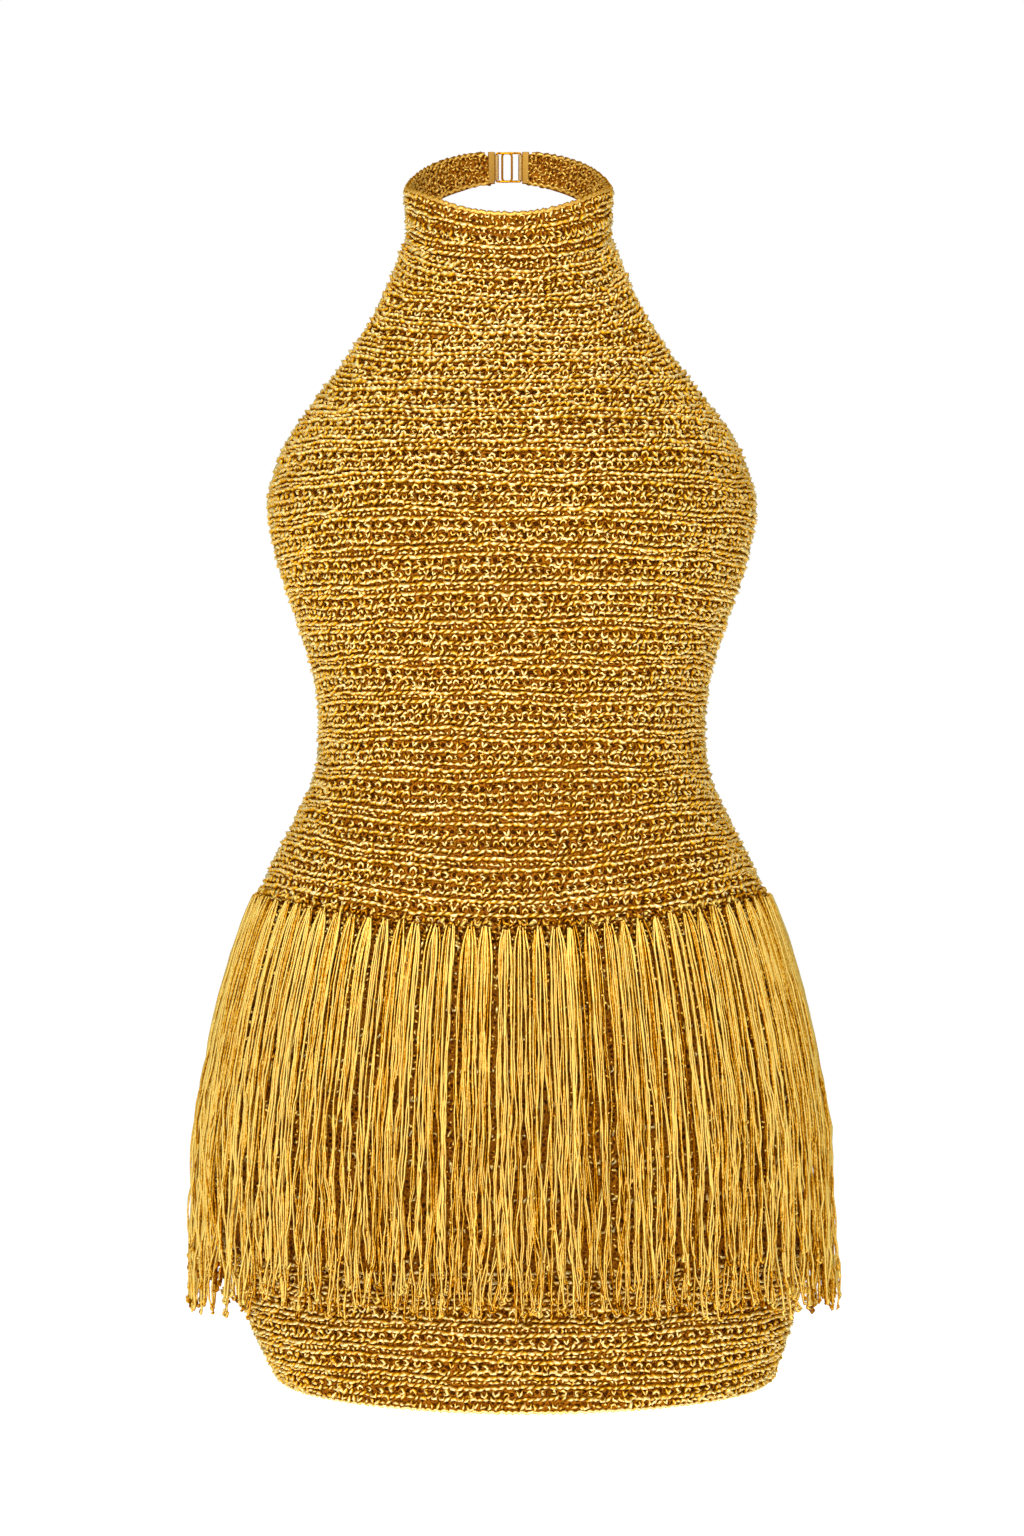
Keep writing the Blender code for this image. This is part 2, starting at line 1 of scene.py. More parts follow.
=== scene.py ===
# %% [markdown]
# # A crocheted halter dress with a fringe
#
# The real dress is hooked row by row from a gold metallic yarn. A front and a back panel meet at the side
# seams, a narrow band closes round the neck with a metal clasp, and bundles of the same yarn are looped
# into one row round the hips. The CAD model gives every size. This script gives the looks: it draws the
# yarn itself, stitch by stitch, over a thin ground cloth that stands in for the depth of the knots, its
# colour painted dark as the shade there.

# %% Load the frame
import math
import random
from collections import namedtuple

import bmesh
import bpy
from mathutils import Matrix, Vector


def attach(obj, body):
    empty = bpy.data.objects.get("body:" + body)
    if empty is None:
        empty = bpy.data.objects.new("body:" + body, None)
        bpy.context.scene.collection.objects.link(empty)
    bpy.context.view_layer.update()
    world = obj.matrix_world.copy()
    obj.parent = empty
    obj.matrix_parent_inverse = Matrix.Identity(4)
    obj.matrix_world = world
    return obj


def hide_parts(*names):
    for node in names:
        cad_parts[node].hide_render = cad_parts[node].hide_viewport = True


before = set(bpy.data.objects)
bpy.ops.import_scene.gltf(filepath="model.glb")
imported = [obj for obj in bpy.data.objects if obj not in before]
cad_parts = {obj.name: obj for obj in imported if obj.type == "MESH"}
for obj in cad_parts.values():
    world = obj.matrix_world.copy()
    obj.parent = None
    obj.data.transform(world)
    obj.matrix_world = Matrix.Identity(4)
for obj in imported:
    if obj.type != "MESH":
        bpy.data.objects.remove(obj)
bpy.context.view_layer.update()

MM = 0.001

# %% [markdown]
# ## Form of the cloth
#
# Crochet is worked to shape, with more stitches in a row where the dress is wide. So its form is a tube
# whose section changes with height. Each section is a superellipse, a rounded shape between an ellipse and
# a box, and a smooth curve joins the sections. The same few numbers made the solids, so every stitch drawn
# here lands on them.

# %% Sections
Section = namedtuple("Section", "height dip half_width side_y front_y back_y square")
FORM = [
    Section(-0.0195, 0.0254, 0.0650, 0.000, -0.058, 0.056, 2.00),  # collar seam
    Section(-0.0637, 0.0190, 0.0800, -0.026, -0.070, 0.070, 2.05),  # base of the neck
    Section(-0.0977, 0.0125, 0.0985, -0.038, -0.082, 0.080, 2.10),  # collarbone
    Section(-0.1295, 0.0065, 0.1221, -0.036, -0.094, 0.090, 2.15),  # upper chest
    Section(-0.1594, 0.0020, 0.1444, -0.019, -0.103, 0.095, 2.20),  # armpit
    Section(-0.1896, 0.0000, 0.1562, 0.000, -0.109, 0.098, 2.25),  # bust line
    Section(-0.2060, 0.0000, 0.1565, 0.000, -0.109, 0.098, 2.25),
    Section(-0.2383, 0.0000, 0.1497, 0.000, -0.107, 0.096, 2.25),  # under the bust
    Section(-0.2708, 0.0000, 0.1386, 0.000, -0.103, 0.092, 2.20),
    Section(-0.3100, 0.0000, 0.1270, 0.000, -0.098, 0.087, 2.20),
    Section(-0.3440, 0.0000, 0.1242, 0.000, -0.097, 0.086, 2.20),  # waist
    Section(-0.3720, 0.0000, 0.1274, 0.000, -0.098, 0.089, 2.20),
    Section(-0.4008, 0.0000, 0.1400, 0.000, -0.102, 0.097, 2.20),
    Section(-0.4333, 0.0000, 0.1565, 0.000, -0.107, 0.107, 2.20),  # high hip
    Section(-0.4800, 0.0000, 0.1722, 0.000, -0.112, 0.119, 2.20),
    Section(-0.5400, 0.0000, 0.1852, 0.000, -0.114, 0.127, 2.20),
    Section(-0.6100, 0.0000, 0.1935, 0.000, -0.115, 0.129, 2.20),  # full hip
    Section(-0.6700, 0.0000, 0.1890, 0.000, -0.113, 0.124, 2.20),
    Section(-0.7258, 0.0010, 0.1740, 0.000, -0.109, 0.116, 2.20),
    Section(-0.7622, 0.0047, 0.1595, 0.000, -0.105, 0.110, 2.00),  # hem
]
COLLAR_SEAM = FORM[0].height
HEM = FORM[-1].height
WALL = 2.2 * MM
ROW_REPEAT = 22.5 * MM
UNDERARM = -0.1886
SCOOP = 0.166
FRINGE_SIDE = -0.4475
FRINGE_DIP = 16.4 * MM
LEAN, LEAN_BY = 2.3 * MM, -0.206
SWAY_FROM, SWAY = -0.600, 8.5 * MM
CUP_X, CUP_HEIGHT, CUP_DEPTH = 0.076, -0.196, 0.017
CUP_WIDE, CUP_ABOVE, CUP_BELOW = 0.055, 0.062, 0.045
QUARTER = math.pi / 2


def section_at(height):
    """The section at a height of the side edge."""
    height = max(min(height, COLLAR_SEAM), HEM)
    below = next(i for i in range(1, len(FORM)) if height >= FORM[i].height)
    above = below - 1
    start, end = FORM[above], FORM[below]
    before, after = FORM[max(above - 1, 0)], FORM[min(below + 1, len(FORM) - 1)]
    span = end.height - start.height
    t = (height - start.height) / span
    values = []
    for b, p, q, a in zip(before, start, end, after):
        leave = (q - b) / (end.height - before.height) * span
        arrive = (a - p) / (after.height - start.height) * span
        values.append(
            (2 * t**3 - 3 * t**2 + 1) * p
            + (t**3 - 2 * t**2 + t) * leave
            + (3 * t**2 - 2 * t**3) * q
            + (t**3 - t**2) * arrive
        )
    return Section(*values)._replace(height=height)


def on_section(s, turn):
    """A point of a section: turn is 0 at the front centre and a quarter at the wearer's left side."""
    sine, cosine = math.sin(turn), math.cos(turn)
    across = math.copysign(abs(sine) ** (2 / s.square), sine)
    ahead = math.copysign(abs(cosine) ** (2 / s.square), cosine)
    reach = s.front_y if ahead > 0 else s.back_y
    return s.half_width * across, s.side_y + (reach - s.side_y) * abs(ahead), ahead


def dip_share(c):
    """How far a curve that hangs by 1 at the front (c = 1) has dropped. It rises by 5/3 at the back."""
    return c * (4 - c) / 3 if c > 0 else c * 5 / 3


def cups(x, z):
    tall = CUP_ABOVE if z > CUP_HEIGHT else CUP_BELOW
    up = math.exp(-(((z - CUP_HEIGHT) / tall) ** 2))
    return CUP_DEPTH * up * sum(math.exp(-(((x - side * CUP_X) / CUP_WIDE) ** 2)) for side in (-1, 1))


def sway(height):
    lean = min(1.0, (COLLAR_SEAM - height) / (COLLAR_SEAM - LEAN_BY))
    swing = max(0.0, (height - SWAY_FROM) / (HEM - SWAY_FROM))
    return LEAN * lean + SWAY * swing**1.5


def cloth_point(turn, height):
    """A point of the dress's outer form."""
    s = section_at(height)
    x, y, ahead = on_section(s, turn)
    z = height - s.dip * dip_share(max(ahead, 0.0))
    if ahead > 0:
        y -= cups(x, z) * min(1.0, ahead * 1.6)
    return Vector((x + sway(height), y, z))


def cloth_normal(turn, height):
    """Straight out from the form at a point, from its slopes on both sides."""
    step, rise = math.radians(0.5), 0.5 * MM
    if abs(turn) < QUARTER + 1e-6:
        turn = max(step - QUARTER, min(QUARTER - step, turn))
    around = cloth_point(turn + step, height) - cloth_point(turn - step, height)
    low, high = max(height - rise, HEM), min(height + rise, COLLAR_SEAM)
    return around.cross(cloth_point(turn, high) - cloth_point(turn, low)).normalized()


print("waist is", round(section_at(-0.344).half_width * 2000), "mm wide")

# %% [markdown]
# ## Camera, light and floor
#
# A catalogue picture of a dress is taken straight on, from the middle of its height, with large soft lights
# and a white surround. The camera stands 2.2 m away, near enough that the nape of the collar shows above
# its front edge, as it does in the photo.

# %% Camera
CAMERA_AWAY = 2.2
CAMERA_HEIGHT = -0.367
FRAME_HEIGHT = 0.9984  # metres that the picture shows from top to bottom at the dress
SENSOR = 24.0

lens = bpy.data.cameras.new("catalogue_camera")
lens.sensor_fit = "VERTICAL"
lens.sensor_height = SENSOR
lens.lens = SENSOR * CAMERA_AWAY / FRAME_HEIGHT
camera = bpy.data.objects.new("catalogue_camera", lens)
camera.location = (LEAN, -CAMERA_AWAY, CAMERA_HEIGHT)
camera.rotation_euler = (QUARTER, 0, 0)
bpy.context.scene.collection.objects.link(camera)
bpy.context.scene.camera = camera
bpy.context.scene.view_settings.view_transform = "Standard"
print("lens", round(lens.lens, 1), "mm")

# %% [markdown]
# Colours are written as hex codes, the way a picture shows them, and turned into the linear values that a
# shader adds and multiplies. A node tree is a list of nodes and links, so one small helper that makes a
# node, sets it and links its inputs keeps the longer trees readable.

# %% Colours and nodes
MATH, VECTOR_MATH = "ShaderNodeMath", "ShaderNodeVectorMath"


def linear(code, alpha=1.0):
    """A colour written as sRGB hex, turned into the linear values that shaders use."""
    parts = [int(code[i : i + 2], 16) / 255 for i in (1, 3, 5)]
    return (*[p / 12.92 if p <= 0.04045 else ((p + 0.055) / 1.055) ** 2.4 for p in parts], alpha)


def add(tree, kind, inputs=(), **settings):
    """Adds a node with its settings. Its inputs, by name or in order, are values, sockets or nodes."""
    node = tree.nodes.new(kind)
    for name, value in settings.items():
        setattr(node, name, value)
    for key, value in inputs.items() if isinstance(inputs, dict) else enumerate(inputs):
        if isinstance(value, bpy.types.Node):
            value = value.outputs[0]
        if isinstance(value, bpy.types.NodeSocket):
            tree.links.new(value, node.inputs[key])
        else:
            node.inputs[key].default_value = value
    return node


# %% [markdown]
# The dress is lit through large softboxes: a strong one high in front, a weak one above and one behind. An
# area light does the same, and its size sets how soft the shadows are. The light from above the camera
# makes the front of each thread bright and lets its underside fall to amber, which gives crochet its crisp
# look. The white surround fills the shadows, with less light than the camera sees there.

# %% Lights and surround
SURROUND = "#ffffff"


def soft_light(name, at, aim, size, watts, colour="#ffffff"):
    data = bpy.data.lights.new(name, "AREA")
    data.shape = "RECTANGLE"
    data.size, data.size_y = size
    data.energy = watts
    data.color = linear(colour)[:3]
    light = bpy.data.objects.new(name, data)
    light.location = at
    light.rotation_euler = (Vector(aim) - Vector(at)).to_track_quat("-Z", "Y").to_euler()
    bpy.context.scene.collection.objects.link(light)
    return light


MIDDLE = (0.0, 0.0, -0.40)
soft_light("front_softbox", (-0.3, -2.9, 0.7), MIDDLE, (1.6, 1.6), 88)
soft_light("top_softbox", (0.2, -0.6, 1.9), MIDDLE, (1.6, 1.2), 15)
soft_light("back_softbox", (0.0, 2.6, 0.7), MIDDLE, (1.8, 1.4), 34)


def studio_world(light_strength):
    """White where the camera sees it, and a dimmer white as a light, so that the folds keep their depth."""
    world = bpy.data.worlds.new("studio")
    bpy.context.scene.world = world
    world.use_nodes = True
    tree = world.node_tree
    seen = add(tree, "ShaderNodeLightPath").outputs["Is Camera Ray"]
    strength = add(tree, "ShaderNodeMapRange", {"Value": seen, "To Min": light_strength, "To Max": 1.0})
    shader = tree.nodes["Background"]
    shader.inputs["Color"].default_value = linear(SURROUND)
    tree.links.new(strength.outputs[0], shader.inputs["Strength"])


studio_world(0.27)

# %% [markdown]
# ## Floor
#
# The surround is one flat white sweep of floor, well below the hem.

# %% Floor
FLOOR = -1.25


def studio_floor():
    paper = bpy.data.materials.new("white_paper_sweep")
    paper.use_nodes = True
    shader = paper.node_tree.nodes["Principled BSDF"]
    shader.inputs["Base Color"].default_value = linear("#fbfbfb")
    shader.inputs["Roughness"].default_value = 0.9
    shader.inputs["Emission Color"].default_value = linear("#ffffff")
    shader.inputs["Emission Strength"].default_value = 0.8
    data = bpy.data.meshes.new("floor")
    sweep = bmesh.new()
    bmesh.ops.create_circle(sweep, cap_ends=True, cap_tris=False, segments=96, radius=9.0)
    bmesh.ops.translate(sweep, verts=sweep.verts, vec=(0, 0, FLOOR))
    sweep.to_mesh(data)
    sweep.free()
    data.materials.append(paper)
    floor = bpy.data.objects.new("floor", data)
    bpy.context.scene.collection.objects.link(floor)


studio_floor()

# %% [markdown]
# ## Materials
#
# The yarn is a flat plastic film, coated with gold and twisted with a thin viscose core. To the eye that
# is half a metal and half a cloth: pale gold where a turn of the film faces out, amber down its flanks and
# a deep brown where light only gets in by bouncing between turns. That fall of light is painted into the
# colour. Each piece of yarn carries two numbers. The first is 1 on the side that faces out of the cloth and
# 0 underneath: a painted highlight on top and painted shade below. The second, "shade", changes at random
# from stitch to stitch; along the chains it is also painted shade where each stitch dips, and on the fringe
# painted shade on the threads that hang deeper. The colour is mixed from both, from soft patches and from
# a fine noise, the twist.

# %% Yarn
TWIST = 1.2 * MM
PATCH = 3.5 * MM
PATCH_SHARE = 0.45


def shader_of(name):
    made = bpy.data.materials.new(name)
    made.use_nodes = True
    return made, made.node_tree, made.node_tree.nodes["Principled BSDF"]


def base_colour(tree, shader, ramp, stops):
    """Colours at places from 0 to 1, given as {place: hex}, go on a ramp that feeds the base colour."""
    elements = ramp.color_ramp.elements
    while len(elements) < len(stops):
        elements.new(0.5)
    for element, (place, code) in zip(elements, sorted(stops.items())):
        element.position, element.color = place, linear(code)
    tree.links.new(ramp.outputs["Color"], shader.inputs["Base Color"])


def yarn_finish(name, tones, shade_share=0.2, twist_share=0.3, metallic=0.5):
    """Gold film yarn: its tone is the painted light of the side that faces out, moved by the shade, by soft
    patches and by the twist.
    """
    made, tree, shader = shader_of(name)
    place = add(tree, "ShaderNodeTexCoord").outputs["Object"]
    patch = add(tree, "ShaderNodeTexNoise", {"Vector": place, "Scale": 1 / PATCH, "Detail": 2.0})
    twist = add(tree, "ShaderNodeTexNoise", {"Vector": place, "Scale": 1 / TWIST, "Detail": 2.0})
    tone = add(tree, "ShaderNodeAttribute", attribute_name="crest").outputs["Fac"]
    shade = add(tree, "ShaderNodeAttribute", attribute_name="shade").outputs["Fac"]
    for source, share in ((shade, shade_share), (patch, PATCH_SHARE), (twist, twist_share)):
        centred = add(tree, MATH, (source, 0.5), operation="SUBTRACT")
        tone = add(tree, MATH, (centred, share, tone), operation="MULTIPLY_ADD")
    base_colour(tree, shader, add(tree, "ShaderNodeValToRGB", {"Fac": tone}), tones)
    bump = add(tree, "ShaderNodeBump", {"Height": twist, "Strength": 0.3, "Distance": 0.4 * MM})
    tree.links.new(bump.outputs["Normal"], shader.inputs["Normal"])
    shader.inputs["Metallic"].default_value = metallic
    shader.inputs["Roughness"].default_value = 0.38
    shader.inputs["Specular IOR Level"].default_value = 0.0  # all of the gloss is the gold's, none is white
    shader.inputs["Specular Tint"].default_value = linear("#e8b850")
    return made


YARN = yarn_finish("gold_film_yarn", {0.12: "#6a3000", 0.37: "#b87204", 0.62: "#e4ac1c", 0.96: "#ffeeaa"})
# A darker, duller copy of the yarn: painted shade for the inside of the dress and the band. The collar's top
# chain takes it too.
YARN_IN_SHADE = yarn_finish("gold_film_yarn_reverse", {0.15: "#6e3c04", 0.55: "#bc841e", 0.95: "#e8bc5c"})
THREAD = yarn_finish(
    "gold_fringe_thread", {0.06: "#6a3402", 0.36: "#b26a04", 0.62: "#dca01a", 0.94: "#f0ce6c"}, 0.9, 1.4, 0.35
)

# %% [markdown]
# Between the stitches one sees the back of the cloth, in shadow: dark, but warm, because the light that
# comes out has struck gold several times. The strands that cross there are drawn as the borders between
# the cells of a Voronoi pattern.

# %% Ground cloth
STRANDS_APART = 3.0 * MM


def ground_finish(name, tones):
    """The shadowed depth between stitches: strands of yarn that cross behind the first layer."""
    made, tree, shader = shader_of(name)
    place = add(tree, "ShaderNodeTexCoord").outputs["Object"]
    pattern = {"Vector": place, "Scale": 1 / STRANDS_APART}
    borders = add(tree, "ShaderNodeTexVoronoi", pattern, feature="DISTANCE_TO_EDGE").outputs["Distance"]
    speckle = add(tree, "ShaderNodeTexNoise", {"Vector": place, "Scale": 1 / TWIST, "Detail": 1.0})
    mixed = add(tree, MATH, (speckle, 0.35, borders), operation="MULTIPLY_ADD")
    base_colour(tree, shader, add(tree, "ShaderNodeValToRGB", {"Fac": mixed}), tones)
    bump = add(tree, "ShaderNodeBump", {"Height": borders, "Strength": 0.5, "Distance": 0.8 * MM})
    bump.invert = True
    tree.links.new(bump.outputs["Normal"], shader.inputs["Normal"])
    shader.inputs["Roughness"].default_value = 0.7
    shader.inputs["Specular IOR Level"].default_value = 0.05
    return made


# Painted shade: the ground is coloured as the shadowed depth between the stitches.
GROUND = ground_finish("shadowed_yarn_ground", {0.17: "#b06c0a", 0.33: "#783e04", 0.55: "#2c1300"})


def hole_finish():
    """Painted shade: what one sees through a hole, the unlit inside of the dress, and the shade under the
    heads of the fringe. It is dark, warm and without gloss.
    """
    made, _, shader = shader_of("dark_of_the_holes")
    shader.inputs["Base Color"].default_value = linear("#4a2402")
    shader.inputs["Roughness"].default_value = 0.95
    shader.inputs["Specular IOR Level"].default_value = 0.0
    return made


HOLE_AND_SHADE_DARK = hole_finish()

# %% [markdown]
# The clasp is bent from thin metal, brushed and plated gold. Brushing leaves fine lines in one direction. A
# noise that is stretched along the height gives them, both to the roughness and to the bump. The rolled
# edge of each plate, where its wire turns, gets a painted highlight, and the groove beside it painted shade,
# with a thin line of painted shade along the inner edge. All are stripes across the plate, placed by the
# distance from the middle of the clasp.

# %% Clasp metal
BRUSH_LINES = 0.3 * MM
PLATE_FROM, PLATE_TO = 6.5 * MM, 13.6 * MM


def clasp_finish(name, stripes):
    """Zinc alloy, plated gold and brushed along its height: soft bright bands and no mirror image. Its
    stripes of colour paint highlight and shade.
    """
    made, tree, shader = shader_of(name)
    place = add(tree, "ShaderNodeTexCoord").outputs["Object"]
    across = add(tree, "ShaderNodeSeparateXYZ", (place,)).outputs["X"]
    distance = add(tree, MATH, (across,), operation="ABSOLUTE")
    share = add(tree, "ShaderNodeMapRange", {"Value": distance, "From Min": PLATE_FROM, "From Max": PLATE_TO})
    base_colour(tree, shader, add(tree, "ShaderNodeValToRGB", {"Fac": share}), stripes)
    stretch = add(tree, "ShaderNodeMapping", {"Vector": place, "Scale": (1.0, 1.0, 0.04)})
    grain = add(tree, "ShaderNodeTexNoise", {"Vector": stretch, "Scale": 1 / BRUSH_LINES, "Detail": 2.0})
    rough = add(tree, "ShaderNodeMapRange", {"Value": grain, "To Min": 0.26, "To Max": 0.40})
    tree.links.new(rough.outputs["Result"], shader.inputs["Roughness"])
    bump = add(tree, "ShaderNodeBump", {"Height": grain, "Strength": 0.12, "Distance": 0.05 * MM})
    tree.links.new(bump.outputs["Normal"], shader.inputs["Normal"])
    shader.inputs["Metallic"].default_value = 0.7
    shader.inputs["Specular IOR Level"].default_value = 0.0
    shader.inputs["Specular Tint"].default_value = linear("#e8b850")
    return made


# Painted highlight and shade on the plate: a dark line at the inner edge, a bright stripe on the rolled edge,
# a dark stripe in the groove.
ROLLED_EDGE_PAINTED_LIGHT = {
    0.0: "#8c5c18", 0.08: "#e8c888", 0.30: "#e2bc74", 0.36: "#84540e", 0.44: "#bc8e3c", 1.0: "#c09444",
}
CLASP_PLATE = clasp_finish("brushed_gold_plate", ROLLED_EDGE_PAINTED_LIGHT)
CLASP_WIRE = clasp_finish("drawn_gold_wire", {0.0: "#c8860c", 1.0: "#c8860c"})

# %% [markdown]
# ## Ground cloth
#
# Seen close, a crocheted cloth is two layers deep: bright loops on top, and the legs of the stitches below,
# in shade. The lower layer is made as a thin shell that lies inside each solid's wall, its colour painted
# dark as that shade. It is a grid of points on the form, given its thickness by joining an outer and an
# inner sheet.

# %% Thin shell
SHELL_OUTSIDE = 1.1 * MM  # the shell's faces lie this far inside the wall's outer face
SHELL_INSIDE = 1.7 * MM
PIECES = {}


def link(name, data):
    made = bpy.data.objects.new(name, data)
    bpy.context.scene.collection.objects.link(made)
    return made


def thin_shell(name, rows, finish):
    """A closed shell from rows of (point, outward) pairs."""
    sheet = bmesh.new()
    out = [[sheet.verts.new(p - n * SHELL_OUTSIDE) for p, n in row] for row in rows]
    back = [[sheet.verts.new(p - n * SHELL_INSIDE) for p, n in row] for row in rows]
    last, end = len(rows) - 1, len(rows[0]) - 1
    for i in range(last):
        for j in range(end):
            sheet.faces.new((out[i][j], out[i + 1][j], out[i + 1][j + 1], out[i][j + 1]))
            sheet.faces.new((back[i][j], back[i][j + 1], back[i + 1][j + 1], back[i + 1][j]))
        sheet.faces.new((out[i][0], back[i][0], back[i + 1][0], out[i + 1][0]))
        sheet.faces.new((out[i][end], out[i + 1][end], back[i + 1][end], back[i][end]))
    for j in range(end):
        sheet.faces.new((out[0][j], out[0][j + 1], back[0][j + 1], back[0][j]))
        sheet.faces.new((out[last][j], back[last][j], back[last][j + 1], out[last][j + 1]))
    bmesh.ops.recalc_face_normals(sheet, faces=sheet.faces)
    data = bpy.data.meshes.new(name)
    sheet.to_mesh(data)
    sheet.free()
    data.shade_smooth()
    data.materials.append(finish)
    PIECES[name] = link(name, data)
    return PIECES[name]


def form_grid(turns, heights_at):
    """Rows of (point, outward) pairs. heights_at gives the heights of one column, from top to bottom."""
    columns = [[(cloth_point(t, h), cloth_normal(t, h)) for h in heights_at(t)] for t in turns]
    return [list(row) for row in zip(*columns)]


def steps(start, end, size):
    count = max(2, round(abs(end - start) / size))
    return [start + (end - start) * k / count for k in range(count + 1)]


# %% [markdown]
# The front runs from the seam under the collar down to the hem. The back starts at its scooped edge, so a
# column of its points is as long as the cloth is there, and all columns have the same number of points.

# %% Front and back ground
EDGE = math.radians(0.25)
FRONT_TURNS = steps(-QUARTER, QUARTER, math.radians(4))
BACK_TURNS = steps(QUARTER, 3 * QUARTER, math.radians(4))


def back_edge(turn):
    """The height of the scooped top edge of the back."""
    return UNDERARM - SCOOP * math.sin(turn - QUARTER)


front_rows = form_grid(FRONT_TURNS, lambda t: steps(COLLAR_SEAM - 0.1 * MM, HEM + 0.5 * MM, 10 * MM))
back_rows = form_grid(
    BACK_TURNS, lambda t: [back_edge(t) + (HEM + 0.5 * MM - back_edge(t)) * k / 56 for k in range(57)]
)
thin_shell("front_ground", front_rows, GROUND)
thin_shell("back_ground", back_rows, GROUND)
print("ground cloth:", {name: len(piece.data.polygons) for name, piece in PIECES.items()})

# %% [markdown]
# ## Drawing with yarn
#
# Every stitch follows a row, so each row is first a plain polyline that lies on the form and knows which
# way is out. Two Geometry Nodes trees turn polylines into crochet. One sweeps a yarn along each row, with a
# wave and a changing thickness, for the chains along the edges. The other drops small bent pieces of yarn
# along each row, turned a little at random, for all the rows between.

# %% Polylines that know which way is out


def rows_mesh(name, rows):
    """Loose polylines with the outward direction kept as an attribute."""
    data = bpy.data.meshes.new(name)
    points, edges, outs = [], [], []
    for row in rows:
        first = len(points)
        points += [p for p, _ in row]
        outs += [n for _, n in row]
        edges += [(first + k, first + k + 1) for k in range(len(row) - 1)]
    data.from_pydata(points, edges, [])
    out = data.attributes.new("out", "FLOAT_VECTOR", "POINT")
    out.data.foreach_set("vector", [c for n in outs for c in n])
    return data


# %% [markdown]
# A Geometry Nodes tree is made in the script like any other data. Its inputs have names, and the modifier
# gets its values by the identifiers of those sockets. The result is copied to a plain mesh, so nothing is
# left to evaluate when the scene is rendered or exported.

# %% Geometry Nodes, from a row of points to a plain mesh


def new_tree(name, sizes, collection=False):
    """An empty tree with a geometry input, named number inputs and a material."""
    tree = bpy.data.node_groups.new(name, "GeometryNodeTree")
    tree.interface.new_socket("Geometry", in_out="INPUT", socket_type="NodeSocketGeometry")
    for label in sizes:
        tree.interface.new_socket(label, in_out="INPUT", socket_type="NodeSocketFloat")
    tree.interface.new_socket("Seed", in_out="INPUT", socket_type="NodeSocketInt")
    tree.interface.new_socket("Material", in_out="INPUT", socket_type="NodeSocketMaterial")
    if collection:
        tree.interface.new_socket("Stitches", in_out="INPUT", socket_type="NodeSocketCollection")
    tree.interface.new_socket("Geometry", in_out="OUTPUT", socket_type="NodeSocketGeometry")
    return tree, tree.nodes.new("NodeGroupInput").outputs


def swept(tree, curve, radius, sides):
    """A closed tube along curves. Its painted light is how far each point faces out of the cloth: a painted
    highlight on top, painted shade below.
    """
    way_out = add(tree, "GeometryNodeInputNamedAttribute", {"Name": "out"}, data_type="FLOAT_VECTOR")
    out = add(tree, VECTOR_MATH, (way_out,), operation="NORMALIZE")
    faced = add(tree, "GeometryNodeSetCurveNormal", {"Curve": curve, "Normal": out}, mode="FREE")
    ring = add(tree, "GeometryNodeCurvePrimitiveCircle", {"Resolution": sides, "Radius": 1.0})
    sweep = {"Curve": faced, "Profile Curve": ring, "Scale": radius, "Fill Caps": True}
    tube = add(tree, "GeometryNodeCurveToMesh", sweep)
    normal = add(tree, "GeometryNodeInputNormal")
    facing = add(tree, VECTOR_MATH, (normal, out), operation="DOT_PRODUCT").outputs["Value"]
    # Painted light: pale where the tube faces out of the cloth, painted shade underneath.
    crest = add(tree, MATH, (facing, 0.5, 0.5), operation="MULTIPLY_ADD")
    return add(tree, "GeometryNodeStoreNamedAttribute", {"Geometry": tube, "Name": "crest", "Value": crest})


def moved_by(tree, ways):
    """One offset from several pairs of a direction and a distance along it."""
    offset = (0.0, 0.0, 0.0)
    for way, distance in ways:
        part = add(tree, VECTOR_MATH, {0: way, "Scale": distance}, operation="SCALE")
        offset = add(tree, VECTOR_MATH, (offset, part), operation="ADD")
    return offset


def finish_tree(tree, mesh, material):
    """Every tree ends alike: real geometry, smooth, with its material."""
    real = add(tree, "GeometryNodeRealizeInstances", {"Geometry": mesh})
    smooth = add(tree, "GeometryNodeSetShadeSmooth", {"Geometry": real, "Shade Smooth": True})
    painted = add(tree, "GeometryNodeSetMaterial", {"Geometry": smooth, "Material": material})
    add(tree, "NodeGroupOutput", (painted,))
    return tree


def grow(name, data, tree, material, seed, **sizes):
    """Runs a tree on a mesh of rows and keeps the result as a plain mesh."""
    carrier = link(name + "_rows", data)
    modifier = carrier.modifiers.new("Yarn", "NODES")
    modifier.node_group = tree
    values = {"Seed": seed, "Material": material, **sizes}
    for item in tree.interface.items_tree:
        if item.in_out == "INPUT" and item.name in values:
            modifier[item.identifier] = values[item.name]
    depsgraph = bpy.context.evaluated_depsgraph_get()
    result = bpy.data.meshes.new_from_object(
        carrier.evaluated_get(depsgraph), preserve_all_data_layers=True, depsgraph=depsgraph
    )
    carrier.modifiers.clear()
    bpy.data.objects.remove(carrier)
    result.name = name
    result.materials.clear()
    result.materials.append(material)
    return result


# %% [markdown]
# A chain along a free edge is one yarn drawn through itself again and again. From arm's length it reads as
# a cord that bends and swells once a stitch. So this tree samples each row finely, moves its points by a
# sine wave, up the cloth and out of it, and sweeps a circle along the result.

# %% A yarn that runs along a row


